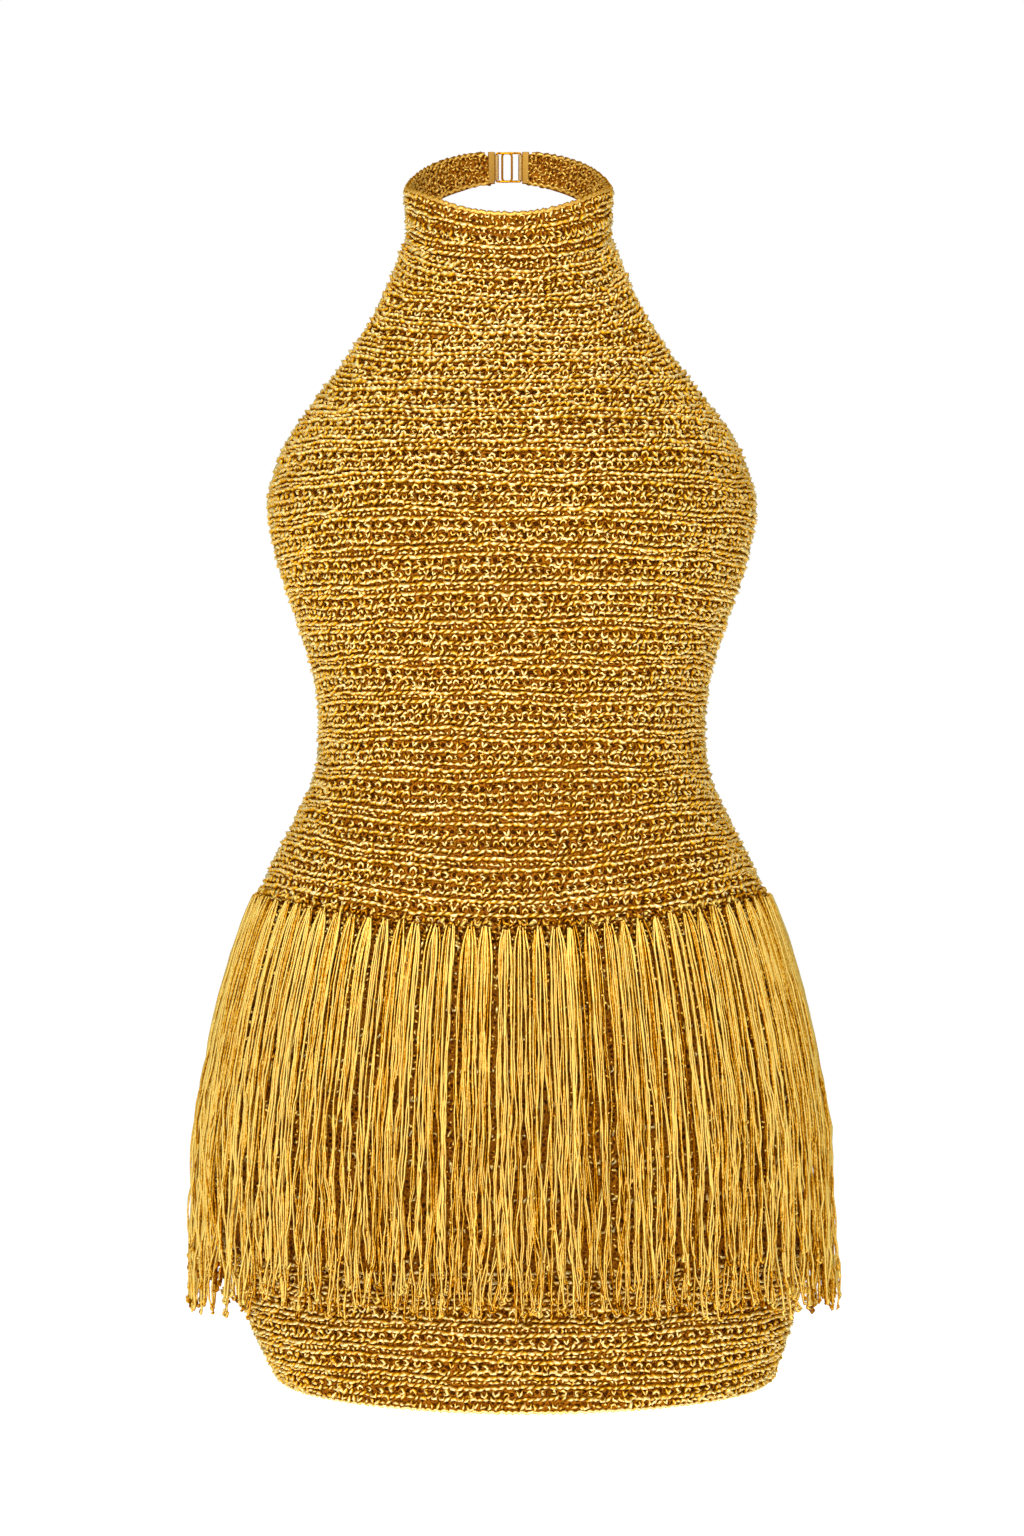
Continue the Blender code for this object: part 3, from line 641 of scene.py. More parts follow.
def yarn_row_tree():
    """Sweeps a round yarn along each row. It waves up and down and swells once a stitch."""
    tree, given = new_tree("yarn_row", ["Step", "Radius", "Stitch", "Wave", "Swell", "Lift"])
    curve = add(tree, "GeometryNodeMeshToCurve", {"Mesh": given["Geometry"]})
    fine = add(tree, "GeometryNodeResampleCurve", {"Curve": curve, "Length": given["Step"]}, mode="LENGTH")
    along = add(tree, "GeometryNodeSplineParameter").outputs["Length"]
    out = add(tree, "GeometryNodeInputNamedAttribute", {"Name": "out"}, data_type="FLOAT_VECTOR")
    up = add(tree, VECTOR_MATH, (out, add(tree, "GeometryNodeInputTangent")), operation="CROSS_PRODUCT")
    place = add(tree, "GeometryNodeInputPosition")
    drift = add(tree, "ShaderNodeTexNoise", {"Vector": place, "Scale": 90.0, "Detail": 1.0})
    drift_phase = add(tree, MATH, (drift, 9.0), operation="MULTIPLY")
    phase = add(tree, MATH, (along, given["Stitch"]), operation="DIVIDE")
    angle = add(tree, MATH, (phase, 2 * math.pi, drift_phase), operation="MULTIPLY_ADD")
    wave = add(tree, MATH, (angle,), operation="SINE")
    rise = add(tree, MATH, (wave, given["Wave"]), operation="MULTIPLY")
    quarter_on = add(tree, MATH, (angle, QUARTER), operation="ADD")
    bulge = add(tree, MATH, (quarter_on,), operation="SINE")
    bulge = add(tree, MATH, (bulge, given["Wave"]), operation="MULTIPLY")
    bulge = add(tree, MATH, (bulge, 0.6, given["Lift"]), operation="MULTIPLY_ADD")
    offset = moved_by(tree, [(up, rise), (out, bulge)])
    waved = add(tree, "GeometryNodeSetPosition", {"Geometry": fine, "Offset": offset})
    swell = add(tree, MATH, (angle, 2.0), operation="MULTIPLY")
    swell = add(tree, MATH, (swell,), operation="SINE")
    swell = add(tree, MATH, (swell, given["Swell"], 1.0), operation="MULTIPLY_ADD")
    radius = add(tree, MATH, (swell, given["Radius"]), operation="MULTIPLY")
    # Painted shade once a stitch: the yarn is painted darker where its wave dips and paler where it rises.
    tone = add(tree, MATH, (wave, 0.3, 0.5), operation="MULTIPLY_ADD")
    toned = add(tree, "GeometryNodeStoreNamedAttribute", {"Geometry": waved, "Name": "shade", "Value": tone})
    return finish_tree(tree, swept(tree, toned, radius, 4), given["Material"])


YARN_ROW = yarn_row_tree()

# %% [markdown]
# ## The stitch library
#
# Seen close, each stitch shows as a few short bends of yarn: beads and links that lie along a row, posts
# that stand across it, and small cups, arches, hooks and dots between. No two are quite alike, and yet a
# handful of bent pieces is enough, because each is turned, shifted and sized a little. A piece is a thin
# tube of three sides with one edge up, because it is repeated tens of thousands of times. The open holes
# between posts are low cones in the dark of the unlit inside of the dress, as painted shade: some four
# thousand real holes would make the cloth too heavy.

# %% Bent pieces of yarn
# Each piece is drawn in millimetres: x along the row, y up the cloth, z out of it.
BEAD_SHAPES = {
    "bead": [(-2.7, -0.8, 0.0), (0.0, 0.1, 1.2), (2.7, 0.8, 0.0)],
    "steep_bead": [(-2.4, -1.3, 0.0), (0.0, 0.0, 1.3), (2.4, 1.3, 0.0)],
    "flat_bead": [(-2.6, 0.1, 0.1), (0.0, -0.2, 1.4), (2.6, 0.2, 0.1)],
    "cupped_bead": [(-2.7, 0.8, 0.0), (-0.9, -0.4, 1.0), (0.9, -0.5, 1.0), (2.7, 0.6, 0.0)],
}
LOOP_SHAPES = {
    "dot": [(-0.8, 0.0, 0.2), (0.0, 0.1, 1.5), (0.8, 0.0, 0.2)],
    "small_dot": [(0.1, -0.6, 0.3), (0.0, 0.0, 1.3), (-0.1, 0.6, 0.3)],
    "dash": [(-1.9, -0.4, 0.2), (0.0, 0.3, 1.1), (1.8, 0.1, 0.2)],
    "slant": [(-1.2, -1.8, 0.1), (0.0, 0.1, 1.1), (1.1, 1.9, 0.1)],
    "comma": [(-0.6, 1.7, 0.1), (0.4, 0.1, 1.2), (-0.2, -1.7, 0.1)],
    "tick": [(-1.7, 1.5, 0.1), (-0.5, -0.8, 1.0), (1.5, 1.6, 0.5)],
    "cup": [(-2.0, 1.8, 0.0), (-1.3, -0.7, 0.9), (1.1, -1.0, 1.0), (1.9, 1.8, 0.1)],
    "arch": [(-2.0, -1.8, 0.0), (-1.1, 0.9, 0.9), (1.2, 1.0, 1.0), (2.0, -1.8, 0.1)],
    "hook": [(1.5, 2.0, 0.0), (0.3, 0.4, 1.1), (-1.0, -1.1, 0.9), (-0.3, -2.1, 0.3)],
}
CHAIN_SHAPES = {
    "steep_link": [(-2.3, -1.2, 0.0), (0.0, 0.0, 1.2), (2.3, 1.2, 0.0)],
    "link": [(-2.4, -0.5, 0.0), (0.0, 0.3, 1.1), (2.3, 0.1, 0.1)],
    "slant": [(-1.5, -1.6, 0.1), (0.0, 0.1, 1.1), (1.4, 1.7, 0.1)],
    "cup": [(-2.1, 1.4, 0.0), (-1.1, -0.5, 0.9), (1.1, -0.7, 1.0), (2.1, 1.4, 0.1)],
    "arch": [(-2.1, -1.4, 0.0), (-1.1, 0.6, 0.9), (1.2, 0.7, 1.0), (2.1, -1.4, 0.1)],
}
POST_SHAPES = {
    "cup": [(-1.7, 1.9, -0.1), (-1.5, -0.3, 0.9), (0.0, -1.4, 0.9), (1.5, -0.2, 0.9), (1.7, 1.9, -0.1)],
    "arch": [(-1.8, -1.8, -0.1), (-1.3, 0.4, 0.9), (0.1, 1.4, 0.9), (1.5, 0.3, 0.9), (1.7, -1.9, -0.1)],
    "curl": [(1.6, 1.8, -0.1), (-1.0, 1.1, 0.8), (-0.2, 0.0, 1.1), (1.4, -0.9, 0.8), (-1.6, -1.8, -0.1)],
    "long_curl": [
        (-2.5, 1.4, -0.1), (-0.6, 1.1, 0.9), (0.8, -0.3, 1.1), (-0.4, -1.5, 0.9), (-2.1, -1.3, 0.0),
    ],
    "vee": [(-1.9, 1.9, -0.1), (-0.8, -0.1, 0.9), (0.0, -1.6, 0.8), (1.0, 0.1, 0.9), (1.7, 1.9, -0.1)],
}
DOT_SHAPES = {name: LOOP_SHAPES[name] for name in ("dot", "small_dot", "dash", "comma")}
TIP_SHAPES = {
    "loop": [(-1.3, 2.6, 0.1), (-1.2, -0.5, 0.3), (1.2, -0.7, 0.3), (1.4, 2.8, 0.1)],
    "hook": [(0.0, 1.5, 0.1), (-0.2, -1.1, 0.4), (1.0, -1.9, 0.4), (1.6, -0.8, 0.2)],
    "knot": [(-0.5, 0.3, 0.2), (0.0, 0.0, 0.9), (0.5, -0.3, 0.2)],
    "end": [(0.0, 1.6, 0.1), (0.4, 0.0, 0.5), (-0.4, -1.9, 0.2)],
}
SIDES = 3


def yarn_tube(name, points, radius):
    """A closed tube, thinner at its ends, with an edge that faces out. It carries painted light: pale along
    the outward edge, painted shade underneath and where it dips into the cloth.
    """
    centres = [Vector(p) * MM for p in points]
    last = len(centres) - 1
    shape = bmesh.new()
    crest = shape.verts.layers.float.new("crest")
    rings = []
    for k, centre in enumerate(centres):
        ahead = (centres[min(k + 1, last)] - centres[max(k - 1, 0)]).normalized()
        side = ahead.cross(Vector((0, 0, 1))).normalized()
        rise = side.cross(ahead)
        size = radius * (0.62 if k in (0, last) else 1.0)
        ring = []
        for a in range(SIDES):
            angle = QUARTER + 2 * math.pi * a / SIDES
            vert = shape.verts.new(centre + (side * math.cos(angle) + rise * math.sin(angle)) * size)
            # Painted light: the outward edge pale, the lower edges and the parts that dip into the cloth
            # painted in shade.
            vert[crest] = (0.56 + 0.44 * math.sin(angle)) * min(1.0, 0.6 + 0.4 * centre.z / MM)
            ring.append(vert)
        rings.append(ring)
    for near, far in zip(rings, rings[1:]):
        for a in range(SIDES):
            shape.faces.new((near[a], near[(a + 1) % SIDES], far[(a + 1) % SIDES], far[a]))
    shape.faces.new(rings[0][::-1])
    shape.faces.new(rings[-1])
    bmesh.ops.recalc_face_normals(shape, faces=shape.faces)
    data = bpy.data.meshes.new(name)
    shape.to_mesh(data)
    shape.free()
    return data


def stitch_library(name, shapes, radius):
    """A collection of bent pieces."""
    library = bpy.data.collections.new(name)
    for label, points in shapes.items():
        data = yarn_tube(name + "_" + label, points, radius)
        library.objects.link(bpy.data.objects.new(data.name, data))
    print(name, "has", len(shapes), "shapes")
    return library


def hole_library():
    """Low dark cones, round or drawn out along the row, that lie between two posts."""
    library = bpy.data.collections.new("holes")
    for name, wide, tall in (("round_hole", 1.45, 1.35), ("long_hole", 1.95, 1.15), ("tall_hole", 1.2, 1.7)):
        shape = bmesh.new()
        bmesh.ops.create_cone(shape, cap_ends=True, segments=7, radius1=1.0, radius2=0, depth=0.5)
        bmesh.ops.scale(shape, verts=shape.verts, vec=(wide * MM, tall * MM, MM))
        data = bpy.data.meshes.new(name)
        shape.to_mesh(data)
        shape.free()
        library.objects.link(bpy.data.objects.new(name, data))
    return library


BEADS = stitch_library("beads", BEAD_SHAPES, 2.0 * MM)
CHAINS = stitch_library("chains", CHAIN_SHAPES, 1.75 * MM)
LOOPS = stitch_library("loops", LOOP_SHAPES, 1.6 * MM)
POSTS = stitch_library("posts", POST_SHAPES, 1.35 * MM)
DOTS = stitch_library("dots", DOT_SHAPES, 1.45 * MM)
TIPS = stitch_library("tips", TIP_SHAPES, 1.0 * MM)
HOLES = hole_library()

# %% [markdown]
# The second tree sets the pieces out. It samples a row at the pitch of its stitches, moves each point a
# little, and puts a piece there that is picked at random, with its length along the row and its bend out
# of the cloth. Small turns and changes of size keep the rows from looking printed.

# %% Stitches along a row


def drawn(tree, given, item, low, high, salt):
    """A random number for each item, the same each time. The salt tells one draw from the next."""
    seed = add(tree, MATH, (given["Seed"], salt), operation="ADD")
    draw = {2: low, 3: high, 7: item, 8: seed}
    return add(tree, "FunctionNodeRandomValue", draw, data_type="FLOAT").outputs[1]


def jitter(tree, given, amount, salt):
    """Up to an amount to either side, drawn for each stitch."""
    share = drawn(tree, given, add(tree, "GeometryNodeInputIndex"), -1.0, 1.0, salt)
    return add(tree, MATH, (share, amount), operation="MULTIPLY")


def pieces_on(tree, given, points, out, along, turn, size, selection=None):
    """Puts a randomly picked piece of yarn on each point, its x axis along the row and its z axis out."""
    facing = add(
        tree, "FunctionNodeAxesToRotation", {"Primary Axis": out, "Secondary Axis": along},
        primary_axis="Z", secondary_axis="X",
    )
    leans = [jitter(tree, given, amount, salt) for amount, salt in ((0.25, 4.0), (0.25, 5.0), (turn, 6.0))]
    lean = add(tree, "FunctionNodeEulerToRotation", (add(tree, "ShaderNodeCombineXYZ", leans),))
    turned = add(tree, "FunctionNodeRotateRotation", (facing, lean), rotation_space="LOCAL")
    library = add(
        tree, "GeometryNodeCollectionInfo",
        {"Collection": given["Stitches"], "Separate Children": True, "Reset Children": True},
    )
    draw = {4: 0, 5: 50, 7: add(tree, "GeometryNodeInputIndex"), 8: given["Seed"]}
    pick = add(tree, "FunctionNodeRandomValue", draw, data_type="INT")
    growth = add(tree, MATH, (jitter(tree, given, 0.16, 7.0), 1.0), operation="ADD")
    inputs = {
        "Points": points,
        "Instance": library,
        "Pick Instance": True,
        "Instance Index": pick.outputs[2],
        "Rotation": turned,
        "Scale": add(tree, MATH, (growth, size), operation="MULTIPLY"),
    }
    if selection is not None:
        inputs["Selection"] = selection
    return add(tree, "GeometryNodeInstanceOnPoints", inputs)


def stitch_row_tree():
    """Drops pieces of yarn along each row, each turned, shifted and sized a little differently."""
    tree, given = new_tree("stitch_row", ["Pitch", "Start", "Turn", "Shift", "Lift", "Size"], collection=True)
    curve = add(tree, "GeometryNodeMeshToCurve", {"Mesh": given["Geometry"]})
    spots = add(tree, "GeometryNodeResampleCurve", {"Curve": curve, "Length": given["Pitch"]}, mode="LENGTH")
    out = add(tree, "GeometryNodeInputNamedAttribute", {"Name": "out"}, data_type="FLOAT_VECTOR")
    tangent = add(tree, "GeometryNodeInputTangent")
    up = add(tree, VECTOR_MATH, (out, tangent), operation="CROSS_PRODUCT")
    ahead = add(tree, MATH, (given["Start"], jitter(tree, given, given["Shift"], 1.0)), operation="ADD")
    proud = add(tree, MATH, (given["Lift"], jitter(tree, given, 0.25 * MM, 3.0)), operation="ADD")
    offset = moved_by(tree, [(tangent, ahead), (up, jitter(tree, given, given["Shift"], 2.0)), (out, proud)])
    moved = add(tree, "GeometryNodeSetPosition", {"Geometry": spots, "Offset": offset})
    tone = add(tree, MATH, (jitter(tree, given, 0.5, 8.0), 0.5), operation="ADD")
    toned = add(tree, "GeometryNodeStoreNamedAttribute", {"Geometry": moved, "Name": "shade", "Value": tone})
    pieces = pieces_on(tree, given, toned, out, tangent, given["Turn"], given["Size"])
    return finish_tree(tree, pieces, given["Material"])


STITCH_ROW = stitch_row_tree()

# %% [markdown]
# ## Rows of the panels
#
# The dress repeats one band of 22.5 mm: a pair of raised rows with a dark channel between them, a row of
# posts with a hole between each two, a chain, a second row of posts with smaller holes, and a chain again.
# Near the neck the rows follow the curve of the collar, and lower down they are level, until they sag
# towards the middle to meet the fringe.

# %% Row heights
PAIR_APART = 2.8 * MM  # from the middle of the repeat to each raised row
POSTS_BELOW = 6.4 * MM  # and down to the posts
SMALL_POSTS_BELOW = (13.0 * MM,)  # to the posts with the smaller holes
CHAINS_BELOW = (9.7 * MM, 16.2 * MM)  # and to the two chains
BEADS_APART, CHAINS_APART, LOOPS_APART, DOTS_APART = 4.4 * MM, 4.0 * MM, 3.7 * MM, 3.4 * MM
HOLES_APART = 7.2 * MM
SMALL_HOLES_APART = 5.3 * MM
SAG_FROM = -0.330


def smooth(value):
    value = min(1.0, max(0.0, value))
    return value * value * (3 - 2 * value)


def ripple(turn, side):
    """Handwork is never quite level: a row wanders by up to 2 mm."""
    slow = math.sin(3 * turn + 47 * side) + 0.7 * math.sin(7 * turn - 83 * side + 1.0)
    return (0.8 * slow + 0.4 * math.sin(13 * turn + 150 * side)) * MM


def row_height(turn, side):
    """Where a row runs that starts at a height of the side seam."""
    share = smooth((side - SAG_FROM) / (FRINGE_SIDE - SAG_FROM)) if side > -0.6 else 0.0
    return side - FRINGE_DIP * share * abs(math.cos(turn)) ** 3 + ripple(turn, side)


def front_row(side, depth=0.0):
    turns = steps(-QUARTER + EDGE, QUARTER - EDGE, math.radians(1.8))
    return [pair_at(t, row_height(t, side), depth) for t in turns]


def pair_at(turn, height, depth=0.0):
    height = max(HEM, min(COLLAR_SEAM, height))
    normal = cloth_normal(turn, height)
    return cloth_point(turn, height) - normal * depth, normal


def back_row_parts(side, depth=0.0):
    """A row of the back, in two parts where the scoop cuts it."""
    whole = steps(QUARTER + EDGE, 3 * QUARTER - EDGE, math.radians(1.8))
    kept = [[], []]
    for t in whole:
        if row_height(t, side) <= back_edge(t) - 2 * MM:
            kept[0 if t < math.pi else 1].append(pair_at(t, row_height(t, side), depth))
    joined = kept[0] + kept[1]
    if len(joined) == len(whole):
        return [joined]
    return [part for part in kept if len(part) > 1]


BODICE_ROWS = [COLLAR_SEAM - ROW_REPEAT * (k + 0.5) for k in range(19)]
HEM_ROWS = [HEM + above * MM for above in (17.0, 33.0, 49.0, 65.0, 81.0)]


def panel_rows(repeats, row_of, small_posts=SMALL_POSTS_BELOW, chains=CHAINS_BELOW):
    """The rows of a list of repeats, by their kind."""
    rows = {"raised": [], "channels": [], "posts": [], "small_posts": [], "chains": []}
    for middle in repeats:
        for offset in (PAIR_APART, -PAIR_APART):
            rows["raised"] += row_of(middle + offset)
        rows["channels"] += row_of(middle)
        rows["posts"] += row_of(middle - POSTS_BELOW)
        for below in small_posts:
            rows["small_posts"] += row_of(middle - below)
        for below in chains:
            rows["chains"] += row_of(middle - below)
    return rows


# %% [markdown]
# A maker works row upon row. Each kind of row has its own library, pitch and lift here, with the pitches
# counted in the photo. All rows of a stretch are then joined into one mesh, because thousands of separate
# stitches would be slow to render and hard to handle.

# %% Crochet a panel


def join_meshes(name, meshes):
    """Joins plain meshes of one material into one piece."""
    whole = bmesh.new()
    for data in meshes:
        whole.from_mesh(data)
    result = bpy.data.meshes.new(name)
    whole.to_mesh(result)
    whole.free()
    result.materials.append(meshes[0].materials[0])
    for data in meshes:
        bpy.data.meshes.remove(data)
    PIECES[name] = link(name, result)
    triangles = sum(len(p.vertices) - 2 for p in result.polygons)
    print(name, triangles, "triangles")
    return PIECES[name]


def yarn_rows(name, rows, material, seed, radius=1.15 * MM, lift=0.0, stitch=5.0 * MM, wave=0.55 * MM):
    return grow(
        name, rows_mesh(name, rows), YARN_ROW, material, seed,
        Step=stitch / 4, Radius=radius, Stitch=stitch, Wave=wave, Swell=0.16, Lift=lift,
    )


def stitch_rows(
    name, rows, material, seed, library, pitch, lift, size=1.0, turn=0.3, shift=0.5 * MM, start=0.0
):
    return grow(
        name, rows_mesh(name, rows), STITCH_ROW, material, seed,
        Pitch=pitch, Start=start, Turn=turn, Shift=shift, Lift=lift, Size=size, Stitches=library,
    )


def raised_rows(name, rows, seed, lift=-0.5 * MM):
    return stitch_rows(name, rows, YARN, seed, BEADS, BEADS_APART, lift, turn=0.15, shift=0.4 * MM)


def chain_rows(name, rows, seed):
    return stitch_rows(name, rows, YARN, seed, CHAINS, CHAINS_APART, -0.6 * MM, turn=0.25, shift=0.5 * MM)


def loop_rows(name, rows, seed, pitch=LOOPS_APART, size=1.0, finish=YARN, lift=-0.8 * MM):
    return stitch_rows(name, rows, finish, seed, LOOPS, pitch, lift, size, turn=0.6, shift=0.8 * MM)


def post_rows(name, rows, seed, pitch=HOLES_APART, size=1.0):
    return stitch_rows(name, rows, YARN, seed, POSTS, pitch, -0.6 * MM, size, turn=0.4, shift=0.9 * MM)


def dot_rows(name, rows, seed, pitch=DOTS_APART):
    return stitch_rows(name, rows, YARN, seed, DOTS, pitch, -1.0 * MM, turn=0.7, shift=0.6 * MM)


def dark_cone_rows(name, rows, seed, pitch=HOLES_APART, size=1.0):
    """The holes lie half a step on from the posts."""
    return stitch_rows(
        name, rows, HOLE_AND_SHADE_DARK, seed, HOLES, pitch, -0.75 * MM, size, turn=0.4, shift=0.7 * MM, start=pitch / 2
    )


def crochet(name, rows, seed):
    """One stretch of a panel as the outside shows it, with the dark of its holes."""
    stitches = [
        raised_rows(name + "_raised", rows["raised"], seed),
        dot_rows(name + "_channels", rows["channels"], seed + 1),
        post_rows(name + "_posts", rows["posts"], seed + 2),
    ]
    holes = [dark_cone_rows(name + "_dark", rows["posts"], seed + 4)]
    if rows["chains"]:
        stitches.append(chain_rows(name + "_chains", rows["chains"], seed + 3))
    if rows["small_posts"]:
        stitches.append(post_rows(name + "_small", rows["small_posts"], seed + 6, SMALL_HOLES_APART, 0.85))
        dark = dark_cone_rows(name + "_small_dark", rows["small_posts"], seed + 7, SMALL_HOLES_APART, 0.85)
        holes.append(dark)
    join_meshes(name + "_holes", holes)
    return join_meshes(name, stitches)


def crochet_inside(name, rows, seed):
    """The reverse of a panel: the same rows, seen from behind and drawn more sparsely, in the darker copy of
    the yarn that paints the shade inside the dress.
    """
    loops = rows["channels"] + rows["posts"] + rows["small_posts"] + rows["chains"]
    return join_meshes(name, [
        stitch_rows(name + "_raised", rows["raised"], YARN_IN_SHADE, seed, BEADS, 4.8 * MM, -0.5 * MM, turn=0.14),
        loop_rows(name + "_loops", loops, seed + 1, 6.2 * MM, 1.3, YARN_IN_SHADE),
    ])


def hip_rows(row_of):
    """The last rows above the fringe: two rows of open posts between chains, down to the bundles' heads."""
    middle = BODICE_ROWS[18]
    return {
        "raised": row_of(middle + PAIR_APART) + row_of(middle - 5.6 * MM),
        "channels": row_of(middle + 0.6 * MM),
        "posts": row_of(middle - 2.3 * MM) + row_of(middle - 9.3 * MM),
        "small_posts": [],
        "chains": [],
    }


def front_rows_at(side):
    return [front_row(side)]


def rows_all_round(side):
    return [front_row(side), *back_row_parts(side)]


UNDER_FRINGE = steps(FRINGE_SIDE - 14 * MM, HEM + 90 * MM, 19 * MM)
crochet("front_crochet_upper", panel_rows(BODICE_ROWS[:10], front_rows_at), 10)
crochet("front_crochet_lower", panel_rows(BODICE_ROWS[10:18], front_rows_at), 20)
crochet("front_crochet_hip", hip_rows(front_rows_at), 25)
crochet("front_crochet_hem", panel_rows(HEM_ROWS, front_rows_at, (), CHAINS_BELOW[:1]), 30)
crochet("back_crochet_upper", panel_rows(BODICE_ROWS[7:18], back_row_parts), 40)
crochet("back_crochet_hip", hip_rows(back_row_parts), 45)
crochet("back_crochet_hem", panel_rows(HEM_ROWS, back_row_parts, (), CHAINS_BELOW[:1]), 50)
under_rows = [row for side in UNDER_FRINGE for row in rows_all_round(side)]
join_meshes("crochet_under_fringe", [loop_rows("under_loops", under_rows, 55, 5.0 * MM, 1.1)])

# %% [markdown]
# The low back shows the inside of the front, so that side is crocheted too, in a darker, duller copy of
# the yarn: painted shade, since little light reaches the inside. A row seen from behind has its outward
# direction turned round and starts from the wall's inner face.

# %% Inside of the panels


def reversed_row(row):
    """The same row on the inner face: run the other way, and facing inwards."""
    return [(p - n * WALL, -n) for p, n in reversed(row)]


def front_rows_inside(side):
    return [reversed_row(front_row(side))]


def back_rows_inside(side):
    return [reversed_row(part) for part in back_row_parts(side)]


def rows_inside(side):
    return front_rows_inside(side) + back_rows_inside(side)


INSIDE_ROWS = [height - ROW_REPEAT * 0.5 for height in BODICE_ROWS]
inside_front = panel_rows(INSIDE_ROWS[:17], front_rows_inside)
for below in (2.5, 5.5, 8.5, 11.5, 14.5, 17.5):
    inside_front["channels"] += front_rows_inside(COLLAR_SEAM - below * MM)
crochet_inside("front_crochet_inside", inside_front, 60)
crochet_inside("back_crochet_inside", panel_rows(INSIDE_ROWS[8:17], back_rows_inside), 70)
crochet_inside("hem_crochet_inside", panel_rows(HEM_ROWS[:3], rows_inside, (), CHAINS_BELOW[:1]), 75)

# %% [markdown]
# ## Collar band
#
# The band is worked along its length, so its rows run round the neck. It has a chain along the top edge, a
# row of posts with holes, and small knots and loops between three raised rows. The seam where the front
# hangs from it lies just below the lowest of them. Its ends go into the clasp.

# %% Form of the collar
COLLAR_TOP, COLLAR_CLIMB, COLLAR_BEND, COLLAR_FALL = 4.9 * MM, 37.2 * MM, 0.30, 21.3 * MM
COLLAR_TOP_SECTION = Section(COLLAR_TOP, 0.0, 0.0672, -0.005, -0.062, 0.051, 2.20)
CLOTH_IN_CLASP = 10.3 * MM
CLASP_OPEN_END = 13.6 * MM


def collar_top(c):
    """Height of the band's top edge. c is 1 at the throat, 0 at the sides and -1 at the nape."""
    climb = (math.hypot(c, COLLAR_BEND) - c) / 2
    return COLLAR_TOP + COLLAR_CLIMB * climb - COLLAR_FALL * max(c, 0.0) ** 2.4


def collar_point(turn, share):
    """A point of the band: share is 0 at the seam and 1 at the top edge."""
    seam, top = FORM[0], COLLAR_TOP_SECTION
    x0, y0, c = on_section(seam, turn)
    x1, y1, _ = on_section(top, turn)
    low = Vector((x0, y0, COLLAR_SEAM - seam.dip * dip_share(c)))
    high = Vector((x1, y1, collar_top(c)))
    return low.lerp(high, share)


def collar_normal(turn):
    step = math.radians(0.5)
    along = collar_point(turn + step, 0.5) - collar_point(turn - step, 0.5)
    return along.cross(collar_point(turn, 1.0) - collar_point(turn, 0.0)).normalized()


def nape_turn(x):
    """The turn at which the band is x metres to the wearer's left of the middle of the nape."""
    near, far = QUARTER, math.pi
    for _ in range(40):
        middle = (near + far) / 2
        near, far = (middle, far) if collar_point(middle, 0.5).x > x else (near, middle)
    return near


def collar_row(share, depth=0.0):
    """A row round the band, depth metres inside its outer face. At the wall's depth it faces inwards."""
    end = nape_turn(CLASP_OPEN_END + 1.5 * MM)
    row = []
    for turn in steps(-end, end, math.radians(3)):
        point, normal = collar_point(turn, share), collar_normal(turn)
        row.append((point - normal * depth, normal if depth < WALL else -normal))
    return row


# %% [markdown]
# Both faces of the band show in the photo, the outer one at the throat and the inner one at the nape. So
# it is crocheted on both, and chains close the edges between them. The inner face takes the darker copy
# of the yarn as painted shade; these chains take it too.

# %% Crochet the collar
collar_turns = steps(-nape_turn(CLOTH_IN_CLASP), nape_turn(CLOTH_IN_CLASP), math.radians(4))


def collar_share(turn, share):
    """The ground is a little narrower where it enters the clasp."""
    narrow = 0.10 * smooth((abs(turn) - math.radians(150)) / math.radians(15))
    return share + (0.5 - share) * narrow


COLLAR_SHARES = (0.93, 0.7, 0.4, 0.1, -0.06)
collar_grid = [
    [(collar_point(t, collar_share(t, s)), collar_normal(t)) for t in collar_turns] for s in COLLAR_SHARES
]
thin_shell("collar_ground", collar_grid, GROUND)


def collar_rows(*shares, depth=0.0):
    return [collar_row(share, depth) for share in shares]


join_meshes("collar_crochet", [
    raised_rows("collar_raised", collar_rows(0.66, 0.26, 0.05), 81),
    dot_rows("collar_channels", collar_rows(0.75, 0.57, 0.15), 82),
    post_rows("collar_posts", collar_rows(0.43), 83, pitch=5.6 * MM),
    loop_rows("collar_loops", collar_rows(0.87, 0.35), 84, size=0.9),
])
join_meshes("collar_holes", [dark_cone_rows("collar_dark", collar_rows(0.43), 83, pitch=5.6 * MM)])
join_meshes("collar_crochet_inside", [
    yarn_rows("top_chain", collar_rows(0.95, depth=WALL / 2), YARN_IN_SHADE, 80, radius=1.6 * MM, wave=0.5 * MM),
    yarn_rows("inner_chains", collar_rows(0.04, 0.95, depth=WALL), YARN_IN_SHADE, 85, radius=1.1 * MM),
    loop_rows(
        "inner_loops", collar_rows(0.86, 0.74, 0.62, 0.50, 0.38, 0.26, 0.15, depth=WALL), 86,
        pitch=3.3 * MM, size=0.9, finish=YARN_IN_SHADE,
    ),
])
join_meshes("neck_seam_crochet", [
    dot_rows("seam_dots", [front_row(COLLAR_SEAM - 2.0 * MM)], 87),
    loop_rows("seam_loops", [front_row(COLLAR_SEAM - 4.8 * MM)], 88),
])

# %% [markdown]
# ## Edgings and seams
#
# A free edge of crochet is finished with a chain, so that it neither curls nor stretches. It runs down
# each armhole and on round the low back, and there is another round the hem. At the sides the two panels
# are sewn together with short stitches from underarm to hem.

# %% Chains along the free edges, and side seams


def armhole_edge(side):
    turn = side * (QUARTER - EDGE)
    return [pair_at(turn, h, 0.4 * WALL) for h in steps(COLLAR_SEAM, UNDERARM, 4 * MM)]


def scoop_row():
    return [pair_at(t, back_edge(t), 0.4 * WALL) for t in steps(QUARTER, 3 * QUARTER, math.radians(1.5))]


